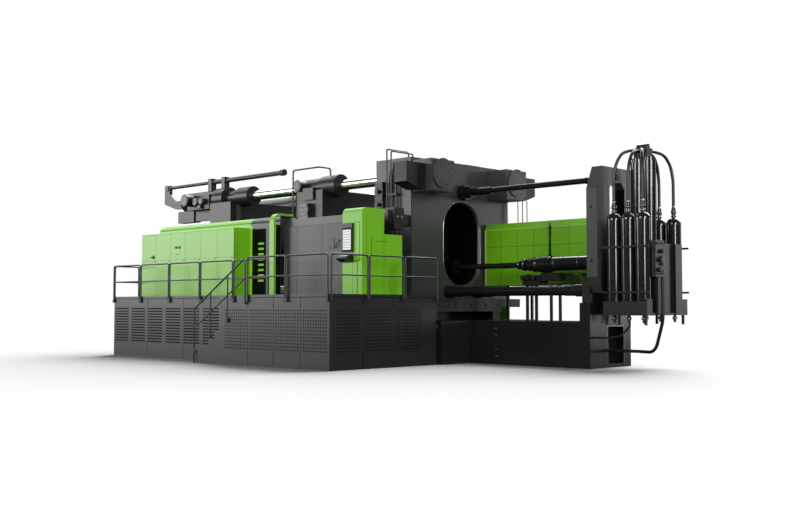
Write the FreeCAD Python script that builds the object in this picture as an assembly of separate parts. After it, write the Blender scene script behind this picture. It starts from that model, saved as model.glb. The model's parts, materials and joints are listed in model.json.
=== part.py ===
# Horizontal cold-chamber die casting machine on its service platform.
# Frame: X runs along the machine, from the clamping end (-X) to the injection end (+X).
# The operator stands on the -Y side.  Z is up.  The origin lies on the floor under the
# machine centre line, below the injection-side face of the fixed platen.  Millimetres.
import FreeCAD, Part
import math
import os

V = FreeCAD.Vector

# ---------------------------------------------------------------- general clearances
RUN = 5.0            # clearance round a sliding piece
SEAT = 0.5           # clearance of a curved seat
SLIDE = 0.4          # gap of a slideway or roller

# ---------------------------------------------------------------- service platform
DECK_Z = 1850.0      # walking surface
DECK_T = 60.0
KERB_H = 70.0
SKIRT_T = 30.0
PLAT_X0 = -10520.0   # clamping end of the platform
PLAT_X1 = 1000.0     # injection end of the platform
STAIR_X0 = -4690.0   # foot of the stair
STAIR_X1 = -2310.0   # head of the stair
PLAT_Y0 = -6220.0    # front edge, wide section
PLAT_GAP = 40.0      # platform stands clear of the platen
POST = 100.0         # square posts under the inner edge of the deck
DECK_POSTS = 6
STAIR_W = 800.0      # width of the stair recess
RISERS = 9
STEP_T = 30.0

RAIL_R = 25.0
MID_RAIL_R = 20.0
STAIR_POST_R = 22.5
RAIL_H = 1100.0      # top rail above the deck
MID_H = 550.0
CLAMP_OVER = 8.0     # how far a post clamp reaches past the post
CLAMP_LIFT = 20.0    # clamp above the foot of the post
CLAMP_H = 80.0
RAIL_BEND = 70.0
RAIL_DROP = 130.0    # how far the posts reach below the deck
RAIL_GAP = 18.0      # distance between posts of neighbouring panels
STAIR_RAIL_Z = 1540.0    # height of the stair rail at its foot
STAIR_RAIL_X = 50.0      # foot of the stair rail before the first riser
STAIR_POSTS = 4

# ---------------------------------------------------------------- bed and bases
BED_X0 = -10000.0
BED_X1 = 1100.0
BED_HALF = 2170.0
BED_Z = 1200.0
BASE_X1 = 5150.0
BASE_HALF = 975.0
UPRIGHT_L = 320.0
UPRIGHT_Z = 1700.0
RECESS_Y0 = -150.0
RECESS_Y1 = 620.0
RECESS_Z0 = 100.0
RECESS_Z1 = 1080.0
RECESS_D = 120.0

# ---------------------------------------------------------------- fixed platen
PLATEN_T = 1400.0
PLATEN_HALF = 2220.0
PLATEN_Z0 = 1830.0
PLATEN_Z1 = 5870.0
SLOT_HALF = 790.0    # stadium opening, half width
SLOT_Z0 = 2225.0
SLOT_Z1 = 4695.0
SLOT_BEVEL = 55.0
HEAD_X1 = 750.0
HEAD_Y0 = 1210.0
HEAD_Y1 = 2180.0
HEAD_Z0 = 4870.0
HEAD_Z1 = 5770.0
HOUSING_X0 = 0.0
HOUSING_X1 = 520.0
HOUSING_Y1 = 2950.0
HOUSING_Z0 = 4900.0
HOUSING_Z1 = 5630.0
HOUSING_CH = 170.0
COVER_R = 430.0
COVER_T = 45.0
SHOE_HALF = 1630.0
SHOE_Z0 = 1450.0
SHOE_X1 = 200.0
SHOE_OVER = 100.0        # shoe reaches past the platen at the die side
SHOE_RIB = 360.0
SHOE_IN = 50.0
WING_Y1 = 2560.0
WING_Z0 = 1580.0
VALVE_X0 = -300.0        # valve block on the operator side of the platen
VALVE_X1 = 110.0
VALVE_PROUD = 75.0
VALVE_D = 400.0
VALVE_Z0 = 3760.0
VALVE_Z1 = 4360.0
VALVE_ARM = (-250.0, -50.0, 3900.0, 4200.0)     # x0, x1, z0, z1 of its bracket
VALVE_PORTS = (-190.0, 0.0, 3900.0, 4200.0)     # x0, x1, z0, z1 of its port block
VALVE_PORT_D = 120.0
RISER_X = (-210.0, -40.0)
RISER_R = 22.0
RISER_BEND = 60.0
RISER_OUT = 35.0         # riser pipes outside the lock housing
RISER_IN = 120.0         # where they come down on the platen
RISER_TOP = 150.0
RISER_STEP = 70.0

# ---------------------------------------------------------------- tie bars and clamping
TIE_R = 165.0
TIE_Y = 1700.0
TIE_ZU = 5375.0
TIE_ZL = 2150.0
TIE_X1 = 700.0
TIE_X0 = -11900.0
TIE_LOW_X0 = -9850.0
REAR_X0 = -9780.0
REAR_X1 = -8600.0
REAR_TOP = 5200.0
MOVE_X0 = -5180.0
MOVE_X1 = -3900.0
MOVE_TOP = 5250.0
MOVE_HALF = 2120.0
CLAMP_X0 = -11760.0
CLAMP_R = 350.0
CLAMP_RING_R = 400.0
NECK_X0 = -9220.0
NECK_X1 = -8570.0
NECK_R = 250.0
COLLAR_X1 = -7880.0
COLLAR_R = 330.0
GUIDE_X1 = -4200.0
GUIDE_R = 300.0
GUIDE_COLLAR_X1 = -3470.0
GUIDE_COLLAR_R = 345.0
MOTOR_R = 215.0
MOTOR_L = 330.0
MOTOR_X = 760.0          # from the end of the clamp cylinder
MOTOR_SINK = 10.0
CHEST_D = 390.0          # side chest of the clamp cylinder
CHEST_X = (500.0, 150.0)     # in from the cylinder's end and from the rear platen
CHEST_Z = (-330.0, 180.0)
PUMP_X = (-440.0, 560.0)     # pump box under the clamp cylinder
PUMP_HALF = 150.0
PUMP_Z = (-725.0, -300.0)
BEAM_HALF = 100.0        # beam that carries the pump box
BEAM_Z = (-700.0, -330.0)
CLOSE_Z = 3500.0
CLOSE_R = 320.0
CLOSE_ROD_R = 150.0
CLOSE_X0 = -12600.0
CLOSE_ROD_X0 = -11500.0
CLOSE_FLANGE = 150.0
CLOSE_FLANGE_R = 440.0
CLOSE_CAP = 120.0
CAP_Y = 260.0            # side caps on the tie bar guides
CAP_L = 280.0
CAP_R = 185.0
CAP_X = 200.0
CAP_RISE = 60.0
GUIDE_BOX_X = (420.0, 900.0)     # box that straddles the platen's top edge
GUIDE_BOX_OUT = 70.0
GUIDE_BOX_DOWN = 300.0
GUIDE_BOX_UP = 80.0
FRAME_PIPE_OUT = 60.0    # pipe frame on the operator side of the moving platen
FRAME_PIPE_Z0 = 4300.0
FRAME_PIPE_Z1 = 5950.0
FRAME_PIPE_L = 1250.0
FRAME_PIPE_R = 26.0
FRAME_PIPE_BEND = 80.0
STACK = 4                # stacked valves on the same side
STACK_X = (330.0, 800.0)
STACK_D = 170.0
STACK_Z0 = 4320.0
STACK_H = 130.0
STACK_STEP = 30.0

# ---------------------------------------------------------------- tie bar puller
PULL_Z = 6030.0
PULL_R = 82.0
PULL_ROD_R = 62.0
PULL_X0 = -10400.0
PULL_X1 = -6250.0
PULL_ROD_X0 = -12900.0
PULL_ROD_X1 = -6450.0
ARM_X0 = -13240.0
ARM_T = 120.0
ARM_Z = (5200.0, 5430.0, 5500.0, 5800.0)
ARM_TOP = 90.0           # arm above the rod's axis
ARM_X = (330.0, 340.0, 740.0, 760.0)
ARM_PIN_X = 170.0
ARM_PIN_R = 110.0
ARM_PIN_HALF = 90.0
PULL_HEAD = 160.0
PULL_HEAD_R = 110.0
PULL_FOOT_X = ((0.0, 200.0), (800.0, 980.0))
PULL_FOOT_HALF = 110.0
PULL_FOOT_IN = 60.0
PULL_FOOT_TOP = 125.0

# ---------------------------------------------------------------- guards
CAB_INSET = 190.0      # cabinet end behind the platform end
CAB_X0 = PLAT_X0 + CAB_INSET
CAB_X1 = -5220.0
CAB_Y0 = -4520.0
GUARD_Y0 = -3960.0
CAB_Z1 = 4000.0
CAB_DOORS = 6
LEAF_T = 25.0
LEAF_GAP = 10.0
LEDGE_D = 40.0
PLINTH_H = 100.0
TOP_LEDGE_H = 40.0
PIN_R = 8.0
PIN_L = 30.0
PIN_IN = 20.0
PIN_ROOT = 1.0       # pin root inside the ledge
CAB_ANNEX_X = 40.0   # narrow cabinet between the end of the platform and the long one
CAB_ANNEX_Y = 120.0
CAB_ANNEX_GAP = 60.0
CAB_ANNEX_Z = 190.0
GUARD_IN = 190.0     # rear guard starts in from the end of the cabinet

GUARD_T = 30.0
GUARD_Z1 = 4300.0
GUARD_BEND = 250.0
GUARD_D = 500.0
SIGN_X0 = -5130.0
PORTAL_X0 = -3910.0
PORTAL_X1 = -3700.0
PORTAL_PROUD = 240.0
PORTAL_RISE = 60.0
DOOR_X0 = -3620.0
DOOR_X1 = -430.0
DOOR_T = 60.0
DOOR_FOLD_Z = 3955.0
DOOR_Z1 = 4190.0
DOOR_LEAN = 200.0
ROLLER_R = 30.0
TRACK_H = 30.0
DOOR_TRAVEL = 2900.0
HANDLE_R = 10.0
HANDLE_OUT = 50.0    # how far the handle stands off the door
HANDLE_X = (-110.0, 20.0)
HANDLE_IN = 790.0    # handle from the closing edge of the door
HANDLE_Z = (3270.0, 3460.0)
HANDLE_BEND = 15.0
DOOR_FOLD_IN = 15.0
DOOR_CLEAR = 5.0     # foot of the door above the roller axis
ROLLER_IN = 300.0
ROLLER_Y = (15.0, 45.0)
TRACK_Y = (10.0, 50.0)
TRACK_OVER = 40.0

TOWER_X0 = -370.0
TOWER_X1 = 390.0
TOWER_Y0 = -4520.0
TOWER_Y1 = -3690.0
TOWER_Z1 = 4250.0
TOWER_BEND = 150.0
TOWER_STEPS = 6      # flats round the tower's shoulder
ANNEX_Y1 = -2990.0
ANNEX_Z1 = 3560.0
SCREEN_X = (40.0, -320.0)    # in from the two ends of the tower
SCREEN_D = 60.0
SCREEN_Z = (3050.0, 3840.0)
SHELF_L = 430.0
SHELF_D = 260.0
SHELF_Z = (2790.0, 2880.0, 2910.0, 3010.0)
FAR_Y = 3000.0
FAR_X1 = -620.0
FAR_BRACKETS = 4
FAR_BRACKET_IN = 430.0    # first bracket from the end of the far guard
FAR_Z1 = 4200.0

# ---------------------------------------------------------------- injection end
FRAME_X0 = 5060.0
FRAME_X1 = 5380.0
FRAME_HALF = 970.0
FRAME_Z0 = 1950.0
FRAME_Z1 = 5250.0
FRAME_CH_Y = 270.0
FRAME_CH_Z = 600.0
WINDOW_HALF = 360.0
WINDOW_Z0 = 3250.0
WINDOW_Z1 = 4860.0
WINDOW_CH = 160.0
FRAME_FOOT = 0.7     # lower chamfer as a share of the upper one
SADDLE_IN = 120.0
SADDLE_HALF = 200.0
SADDLE_H = 320.0
ROD_UP_Z = 5000.0
ROD_UP_R = 82.0
ROD_LOW_Y = 650.0
ROD_LOW_Z = 2030.0
ROD_LOW_R = 122.0
ROD_UP_NUTS = ((0.0, 230.0, 235.0), (230.0, 420.0, 170.0), (420.0, 1150.0, 112.0))
ROD_UP_RING = (640.0, 600.0, 94.0)       # before the frame: from, to, radius
ROD_LOW_NUTS = ((0.0, 260.0, 185.0), (260.0, 620.0, 150.0))
ROD_LOW_RINGS = ((900.0, 860.0, 136.0), (640.0, 300.0, 148.0), (300.0, 0.0, 168.0))
SHOT_Z = 2775.0
SHOT_R = 195.0
SHOT_X0 = 3190.0
PISTON_R = 95.0
FLANGE_R = 245.0
FLANGE_L = 190.0
COUPLING_L = 860.0
COUPLING = ((0.0, 170.0, 120.0), (170.0, 300.0, 165.0), (300.0, 380.0, 110.0),
            (380.0, 560.0, 180.0), (560.0, COUPLING_L, 215.0))
SHOT_CAP = 60.0          # blind end of the cylinder's bore
SHOT_STROKE_IN = 400.0   # piston rod ends this far inside the cylinder
SHOT_RING = 110.0
SHOT_RING_R = 225.0
MANI_FRONT = (170.0, 420.0, 230.0)       # half width, reach past the flange, height
MANI_BACK = (760.0, -230.0, 200.0, 330.0, 60.0)     # x, y0, y1, foot, top
MANI_PORTS = ((700.0, 330.0, 130.0, 70.0), (520.0, 360.0, 110.0, 80.0),
              (350.0, 330.0, 130.0, 70.0))
MANI_PIPE = (60.0, 32.0)
PLUNGER_R = 78.0
PLUNGER_X0 = -150.0
SLEEVE_X1 = -200.0
SLEEVE_R = 205.0
SLEEVE_PLATE_T = 160.0

ENC_X0 = 60.0
ENC_X1 = 4400.0
ENC_LEG = 70.0
ENC_Y0 = 1000.0
ENC_Y1 = 2500.0
ENC_Z0 = 2230.0
ENC_Z1 = 4100.0
ENC_CH = 170.0
ENC_CH_IN = 102.0
ENC_LEG_X = (790.0, 1520.0, 1850.0, ENC_X1 - 200.0)
ENC_LEG_IN = (200.0, 100.0)

# ---------------------------------------------------------------- accumulators
RACK_X0 = 5560.0
RACK_X1 = 6800.0
RACK_HALF = 1000.0
RACK_Z0 = 1380.0
RACK_FLOOR = 60.0
TRAY_H = 350.0
TRAY_T = 25.0
CORE_HALF = 530.0
CORE_Z1 = 3200.0
BOTTLE_R = 188.0
BOTTLE_Y = 765.0
BOTTLE_X = (5760.0, 6175.0, 6590.0)
BOTTLE_Z1 = 3990.0
VALVE_R = 55.0
VALVE_H = 190.0
BOTTLE_DROP = 70.0       # the far row stands lower
SHOULDER = 190.0         # height of a bottle's dome
NECK_IN = 60.0
NECK_OUT = 45.0
NECK_BORE = 60.0
TALL_X = (5990.0, 6345.0)
TALL_R = 172.0
TALL_Z1 = 5440.0
TALL_CAP_H = 90.0
TALL_CAP_R = 142.0
MANIFOLD_H = 330.0
MANIFOLD_HALF_X = 190.0
MANIFOLD_HALF_Y = 150.0
DRUM_R = 90.0
DRUM_SINK = 60.0
GAS_PIPE_R = 40.0
GAS_PIPE_STEP = 130.0
GAS_PIPE_DROPS = (150.0, 30.0)
GAS_PIPE_BOWS = ((0.0, 330.0, 0.0), (0.55, 540.0, 70.0), (0.85, 700.0, 330.0),
                 (1.0, BOTTLE_Y, 700.0))     # share of the way along X, y, drop
FEED_R = 42.0
FEED_Z = (1250.0, 450.0)
FEED_X = (260.0, 6000.0)
FEED_BENDS = (700.0, 330.0, 300.0)
DRAIN_R = 26.0
DRAIN_ROUTE = ((6150.0, -700.0, RACK_Z0), (6150.0, -700.0, 1100.0),
               (5900.0, -730.0, 860.0), (5560.0, -760.0, 800.0), (BASE_X1, -760.0, 800.0))
DRAIN_BENDS = (90.0, 180.0, 260.0)
RACK_CORE_IN = (40.0, 60.0)      # core inside the two ends of the rack
RACK_BRIDGE_IN = 130.0
RACK_BRIDGE_Z = (2050.0, 3050.0)
END_LIP = 250.0
END_LIP_H = 60.0
RACK_LEG_HALF = 28.0
RACK_LEG_IN = 80.0
RACK_LEG_H = 240.0
RACK_LEG_X = (RACK_X0 + 60.0, RACK_X0 + 420.0, RACK_X1 - 60.0)
END_PANEL_Y = 420.0
STRAP_Z = (1960.0, 3105.0)
STRAP_GAP = 14.0
STRAP_T = 13.0           # half thickness
STRAP_H = 25.0           # half height
STRAP_OVER = (60.0, 90.0)
TIE_PLATE = (6.0, 20.0)  # half thickness and half height of the ties between bottles
RACK_VALVE_Y0 = -720.0
RACK_VALVE_Y1 = -290.0
RACK_VALVE_Z0 = 2340.0
RACK_VALVE_Z1 = 3260.0
RACK_VALVE_T = 110.0
RACK_PORT_L = 80.0
RACK_PORTS = ((-60.0, 180.0, 55.0), (0.0, 430.0, 65.0), (60.0, 640.0, 55.0))


# ================================================================ helpers
def box(x0, x1, y0, y1, z0, z1):
    return Part.makeBox(x1 - x0, y1 - y0, z1 - z0, V(x0, y0, z0))


def cyl_x(x0, x1, y, z, r):
    return Part.makeCylinder(r, x1 - x0, V(x0, y, z), V(1, 0, 0))


def cyl_y(y0, y1, x, z, r):
    return Part.makeCylinder(r, y1 - y0, V(x, y0, z), V(0, 1, 0))


def cyl_z(z0, z1, x, y, r):
    return Part.makeCylinder(r, z1 - z0, V(x, y, z0), V(0, 0, 1))


def prism(points, axis, start, length):
    """Extrude a closed outline.  The outline gives the two other coordinates in order."""
    place = {
        "x": lambda a, b: V(start, a, b),
        "y": lambda a, b: V(a, start, b),
        "z": lambda a, b: V(a, b, start),
    }[axis]
    ring = [place(a, b) for a, b in points]
    ring.append(ring[0])
    along = {"x": V(length, 0, 0), "y": V(0, length, 0), "z": V(0, 0, length)}[axis]
    return Part.Face(Part.makePolygon(ring)).extrude(along)


def fuse(shapes):
    body = shapes[0]
    if len(shapes) > 1:
        body = body.multiFuse(shapes[1:])
    return body.removeSplitter()


def mirror_y(shape):
    return shape.mirror(V(0, 0, 0), V(0, 1, 0))


def route(points, bends):
    """Wire of straight runs joined by tangent arcs; bends holds one radius or one each."""
    pts = [V(*p) for p in points]
    if not isinstance(bends, (list, tuple)):
        bends = [bends] * (len(pts) - 2)
    edges = []
    at = pts[0]
    for i in range(1, len(pts) - 1):
        back = (pts[i - 1] - pts[i]).normalize()
        ahead = (pts[i + 1] - pts[i]).normalize()
        turn = math.pi - back.getAngle(ahead)
        cut = bends[i - 1] * math.tan(turn / 2.0)
        a = pts[i] + back * cut
        b = pts[i] + ahead * cut
        middle = (back + ahead).normalize()
        reach = bends[i - 1] / math.cos(turn / 2.0) - bends[i - 1]
        c = pts[i] + middle * reach
        if (a - at).Length > 0.01:
            edges.append(Part.LineSegment(at, a).toShape())
        edges.append(Part.Arc(a, c, b).toShape())
        at = b
    edges.append(Part.LineSegment(at, pts[-1]).toShape())
    return Part.Wire(edges)


def pipe(points, bends, radius):
    wire = route(points, bends)
    first = wire.Edges[0]
    start = first.valueAt(first.FirstParameter)
    along = first.tangentAt(first.FirstParameter)
    ring = Part.Wire(Part.makeCircle(radius, start, along))
    return wire.makePipeShell([ring], True, False)


def run_bends(points, share=0.45):
    """Bend radii as large as the two runs beside each point allow."""
    pts = [V(*p) for p in points]
    radii = []
    for i in range(1, len(pts) - 1):
        back = pts[i - 1] - pts[i]
        ahead = pts[i + 1] - pts[i]
        turn = math.pi - back.getAngle(ahead)
        shorter = min(back.Length, ahead.Length)
        radii.append(share * shorter / math.tan(turn / 2.0))
    return radii


def bent_sheet(y0, top, depth, t, bend, x0, x1, foot):
    """Wall with a rounded shoulder and a short roof leaning over the machine."""
    steps = 6
    outer = [(y0, foot)]
    for k in range(steps + 1):
        a = math.pi - k * math.pi / 2.0 / steps
        outer.append((y0 + bend + bend * math.cos(a), top - bend + bend * math.sin(a)))
    outer.append((y0 + depth, top))
    inner = [(y0 + depth, top - t)]
    for k in range(steps + 1):
        a = math.pi / 2.0 + k * math.pi / 2.0 / steps
        r = bend - t
        inner.append((y0 + bend + r * math.cos(a), top - bend + r * math.sin(a)))
    inner.append((y0 + t, foot))
    return prism(outer + inner, "x", x0, x1 - x0)


parts = {}

# ================================================================ bed, bases
parts["machine_bed"] = box(BED_X0, BED_X1, -BED_HALF, BED_HALF, 0, BED_Z)

upright_x0 = BASE_X1 - UPRIGHT_L
shot_base = fuse([
    box(BED_X1, BASE_X1, -BASE_HALF, BASE_HALF, 0, BED_Z),
    box(upright_x0, BASE_X1, -BASE_HALF, BASE_HALF, BED_Z, UPRIGHT_Z),
])
parts["shot_base"] = shot_base.cut(
    box(BASE_X1 - RECESS_D, BASE_X1 + 1, RECESS_Y0, RECESS_Y1, RECESS_Z0, RECESS_Z1))

# ================================================================ platform
plat_y1 = -PLATEN_HALF - PLAT_GAP
left_y0 = PLAT_Y0 + STAIR_W
kerb_z = DECK_Z + KERB_H
outline = [
    (PLAT_X0 + SKIRT_T, left_y0 + SKIRT_T),
    (STAIR_X1, left_y0 + SKIRT_T),
    (STAIR_X1, PLAT_Y0 + SKIRT_T),
    (PLAT_X1 - SKIRT_T, PLAT_Y0 + SKIRT_T),
    (PLAT_X1 - SKIRT_T, plat_y1),
    (PLAT_X0 + SKIRT_T, plat_y1),
]
deck = [prism(outline, "z", DECK_Z - DECK_T, DECK_T)]
for k in range(DECK_POSTS):
    x = PLAT_X0 + SKIRT_T + (PLAT_X1 - PLAT_X0 - 2 * SKIRT_T - POST) * k / (DECK_POSTS - 1)
    deck.append(box(x, x + POST, plat_y1 - POST, plat_y1, 0, DECK_Z - DECK_T))
    if x > BED_X0:
        deck.append(box(x, x + POST, plat_y1, -BED_HALF, BED_Z - 2 * POST, BED_Z - POST))
parts["platform_deck"] = fuse(deck)

rise = DECK_Z / RISERS
going = (STAIR_X1 - STAIR_X0) / (RISERS - 1)
saw = [(STAIR_X0, 0.0)]
for k in range(RISERS - 1):
    saw.append((STAIR_X0 + k * going, (k + 1) * rise))
    saw.append((STAIR_X0 + (k + 1) * going, (k + 1) * rise))
saw_top = [(x, z + KERB_H) for x, z in saw[1:]]
front = [(STAIR_X0, 0.0)] + saw_top + [
    (STAIR_X1, kerb_z), (PLAT_X1, kerb_z), (PLAT_X1, 0.0)]
front_skirt = prism(front, "y", PLAT_Y0, SKIRT_T)
parts["platform_skirts"] = Part.makeCompound([
    fuse([front_skirt,
          box(PLAT_X1 - SKIRT_T, PLAT_X1, PLAT_Y0, plat_y1, 0, kerb_z)]),
    fuse([box(PLAT_X0, STAIR_X1, left_y0, left_y0 + SKIRT_T, 0, kerb_z),
          box(PLAT_X0, PLAT_X0 + SKIRT_T, left_y0, plat_y1, 0, kerb_z)]),
])

flight = []
for k in range(RISERS - 1):
    x = STAIR_X0 + k * going
    z = k * rise
    flight.append(box(x, x + STEP_T, PLAT_Y0 + SKIRT_T, left_y0, max(0.0, z - STEP_T),
                      z + rise))
    flight.append(box(x, x + going, PLAT_Y0 + SKIRT_T, left_y0, z + rise - STEP_T, z + rise))
flight.append(box(STAIR_X1, STAIR_X1 + STEP_T, PLAT_Y0 + SKIRT_T, left_y0,
                  (RISERS - 1) * rise - STEP_T, DECK_Z - DECK_T))
parts["stair_flight"] = fuse(flight)


def rail_panel(start, end, out):
    """Handrail bay with two posts clamped outside the skirt; out points away from it."""
    off = V(*out) * (RAIL_R + RUN)
    a = V(*start) + off
    b = V(*end) + off
    base = DECK_Z - RAIL_DROP
    top = DECK_Z + RAIL_H - RAIL_R
    mid = DECK_Z + MID_H
    path = [(a.x, a.y, base), (a.x, a.y, top), (b.x, b.y, top), (b.x, b.y, base)]
    shapes = [pipe(path, RAIL_BEND, RAIL_R)]
    span = b - a
    shapes.append(Part.makeCylinder(MID_RAIL_R, span.Length, V(a.x, a.y, mid), span))
    across = V(-out[1], out[0], 0)
    for p in (a, b):
        lo = p - V(*out) * (RAIL_R + RUN) - across * (RAIL_R + CLAMP_OVER)
        hi = p + V(*out) * (RAIL_R + CLAMP_OVER) + across * (RAIL_R + CLAMP_OVER)
        shapes.append(box(min(lo.x, hi.x), max(lo.x, hi.x), min(lo.y, hi.y),
                          max(lo.y, hi.y), base + CLAMP_LIFT, base + CLAMP_LIFT + CLAMP_H))
    return fuse(shapes)


def rail_row(start, end, bays, out):
    a = V(*start)
    b = V(*end)
    step = (b - a) * (1.0 / bays)
    gap = V(step).normalize() * (RAIL_GAP / 2.0 + RAIL_R)
    row = []
    for k in range(bays):
        p = a + step * k + gap
        q = a + step * (k + 1) - gap
        row.append(rail_panel((p.x, p.y, 0), (q.x, q.y, 0), out))
    return row


rails = rail_row((PLAT_X0 - 20, left_y0, 0), (STAIR_X1 - 40, left_y0, 0), 5, (0, -1, 0))
rails += rail_row((STAIR_X1, PLAT_Y0, 0), (PLAT_X1, PLAT_Y0, 0), 2, (0, -1, 0))
rails += rail_row((PLAT_X1, PLAT_Y0, 0), (PLAT_X1, plat_y1 + 40, 0), 3, (1, 0, 0))
rails += rail_row((PLAT_X0, left_y0, 0), (PLAT_X0, GUARD_Y0 - 500, 0), 1, (-1, 0, 0))
parts["handrails"] = Part.makeCompound(rails)

# sloping rail of the stair, clamped to the outside of the front skirt
sr_y = PLAT_Y0 - RAIL_R - RUN
sr_x0 = STAIR_X0 - STAIR_RAIL_X
sr_x1 = STAIR_X1 - 2 * RAIL_R - RAIL_GAP
head_top = DECK_Z + RAIL_H - RAIL_R
stair_run = V(sr_x1 - sr_x0, 0, head_top - STAIR_RAIL_Z)
stair_rail = [pipe([(sr_x0, sr_y, 0), (sr_x0, sr_y, STAIR_RAIL_Z),
                    (sr_x1, sr_y, head_top), (sr_x1, sr_y, DECK_Z - RAIL_DROP)],
                   [90.0, 60.0], RAIL_R)]
drop = RAIL_H - MID_H
stair_rail.append(Part.makeCylinder(MID_RAIL_R, stair_run.Length,
                                    V(sr_x0, sr_y, STAIR_RAIL_Z - drop), stair_run))
for k in range(STAIR_POSTS):
    t = k / (STAIR_POSTS - 1.0)
    x = sr_x0 + stair_run.x * t
    rail_z = STAIR_RAIL_Z + stair_run.z * t
    clamp_z = max(CLAMP_H / 2.0, rail_z - RAIL_H - 2 * CLAMP_H)
    if 0 < k < STAIR_POSTS - 1:
        stair_rail.append(cyl_z(clamp_z - CLAMP_H / 2.0, rail_z, x, sr_y, STAIR_POST_R))
    x1 = max(x + RAIL_R + CLAMP_OVER, STAIR_X0 + RAIL_R + 35)
    stair_rail.append(box(x - RAIL_R - CLAMP_OVER, x1, sr_y - RAIL_R - CLAMP_OVER, PLAT_Y0,
                          clamp_z, clamp_z + CLAMP_H))
parts["stair_handrail"] = fuse(stair_rail)

# ================================================================ fixed platen
slot_mid0 = SLOT_Z0 + SLOT_HALF
slot_mid1 = SLOT_Z1 - SLOT_HALF


def stadium(x0, x1, grow):
    return fuse([
        box(x0, x1, -SLOT_HALF - grow, SLOT_HALF + grow, slot_mid0, slot_mid1),
        cyl_x(x0, x1, 0, slot_mid0, SLOT_HALF + grow),
        cyl_x(x0, x1, 0, slot_mid1, SLOT_HALF + grow),
    ])


def bevel_ring():
    low = Part.makeCone(SLOT_HALF, SLOT_HALF + SLOT_BEVEL, SLOT_BEVEL,
                        V(-SLOT_BEVEL, 0, slot_mid0), V(1, 0, 0))
    high = Part.makeCone(SLOT_HALF, SLOT_HALF + SLOT_BEVEL, SLOT_BEVEL,
                         V(-SLOT_BEVEL, 0, slot_mid1), V(1, 0, 0))
    flat = prism([(-SLOT_BEVEL, -SLOT_HALF), (0, -SLOT_HALF - SLOT_BEVEL),
                  (0, SLOT_HALF + SLOT_BEVEL), (-SLOT_BEVEL, SLOT_HALF)],
                 "z", slot_mid0, slot_mid1 - slot_mid0)
    return [low, high, flat]


platen = [box(-PLATEN_T, 0, -PLATEN_HALF, PLATEN_HALF, PLATEN_Z0, PLATEN_Z1)]
for s in (-1, 1):
    y0 = min(s * HEAD_Y0, s * HEAD_Y1)
    y1 = max(s * HEAD_Y0, s * HEAD_Y1)
    platen.append(box(-PLATEN_T, HEAD_X1, y0, y1, HEAD_Z0, HEAD_Z1))
platen = fuse(platen)
platen = platen.cut(stadium(-PLATEN_T - 1, 1, 0.0))
for tool in bevel_ring():
    platen = platen.cut(tool)
for s in (-1, 1):
    platen = platen.cut(cyl_x(-PLATEN_T - 1, HEAD_X1 + 1, s * TIE_Y, TIE_ZU, TIE_R + RUN))
    platen = platen.cut(cyl_x(-PLATEN_T - 1, -PLATEN_T / 2.0, s * TIE_Y, TIE_ZL,
                              TIE_R + SEAT))
parts["fixed_platen"] = platen.removeSplitter()

covers = []
for s in (-1, 1):
    disc = Part.makeCylinder(COVER_R, COVER_T, V(HEAD_X1, s * TIE_Y, TIE_ZU), V(1, 0, 0))
    covers.append(disc)
parts["tie_bar_end_covers"] = Part.makeCompound(covers)

housings = []
for s in (-1, 1):
    outline = [(s * HEAD_Y1, HOUSING_Z0), (s * (HOUSING_Y1 - 3 * HOUSING_CH), HOUSING_Z0),
               (s * HOUSING_Y1, HOUSING_Z0 + HOUSING_CH), (s * HOUSING_Y1, HOUSING_Z1),
               (s * HEAD_Y1, HOUSING_Z1)]
    block = prism(outline, "x", HOUSING_X0, HOUSING_X1 - HOUSING_X0)
    housings.append(block)
parts["lock_housings"] = Part.makeCompound(housings)

shoe_x0 = -PLATEN_T - SHOE_OVER
rib_x1 = SHOE_X1 - SHOE_IN
parts["platen_shoe"] = fuse([
    box(shoe_x0, SHOE_X1, -SHOE_HALF, SHOE_HALF, SHOE_Z0, PLATEN_Z0),
    box(shoe_x0, SHOE_X1, -PLATEN_HALF + SHOE_IN, WING_Y1, WING_Z0, PLATEN_Z0),
    box(-PLATEN_T, rib_x1, -SHOE_HALF, -SHOE_HALF + SHOE_RIB, BED_Z, SHOE_Z0),
    box(-PLATEN_T, rib_x1, SHOE_HALF - SHOE_RIB, SHOE_HALF, BED_Z, SHOE_Z0),
    box(-PLATEN_T, -PLATEN_T / 2.0, -BED_HALF, BED_HALF, BED_Z, WING_Z0),
])

sleeve_plate = stadium(-PLATEN_T, -PLATEN_T + SLEEVE_PLATE_T, -SEAT)
sleeve = fuse([sleeve_plate, cyl_x(-PLATEN_T, SLEEVE_X1, 0, SHOT_Z, SLEEVE_R)])
parts["shot_sleeve"] = sleeve.cut(
    cyl_x(-PLATEN_T - 1, SLEEVE_X1 + 1, 0, SHOT_Z, PLUNGER_R + RUN))

# valve block on the operator side of the platen with its two riser pipes
valve_y0 = -HOUSING_Y1 - VALVE_PROUD
valve_y1 = valve_y0 + VALVE_D
arm_x0, arm_x1, arm_z0, arm_z1 = VALVE_ARM
port_x0, port_x1, port_z0, port_z1 = VALVE_PORTS
valves = [
    box(VALVE_X0, VALVE_X1, valve_y0, valve_y1, VALVE_Z0, VALVE_Z1),
    box(arm_x0, arm_x1, valve_y1, -PLATEN_HALF, arm_z0, arm_z1),
    box(port_x0, port_x1, valve_y0 - VALVE_PORT_D, valve_y0, port_z0, port_z1),
]
for k, x in enumerate(RISER_X):
    y0 = -HOUSING_Y1 - RISER_OUT
    y1 = -PLATEN_HALF + RISER_IN
    z = PLATEN_Z1 + RISER_TOP - RISER_STEP * k
    valves.append(pipe([(x, y0, VALVE_Z1), (x, y0, z), (x, y1, z), (x, y1, PLATEN_Z1)],
                       RISER_BEND, RISER_R))
parts["platen_valve_block"] = fuse(valves)

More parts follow.
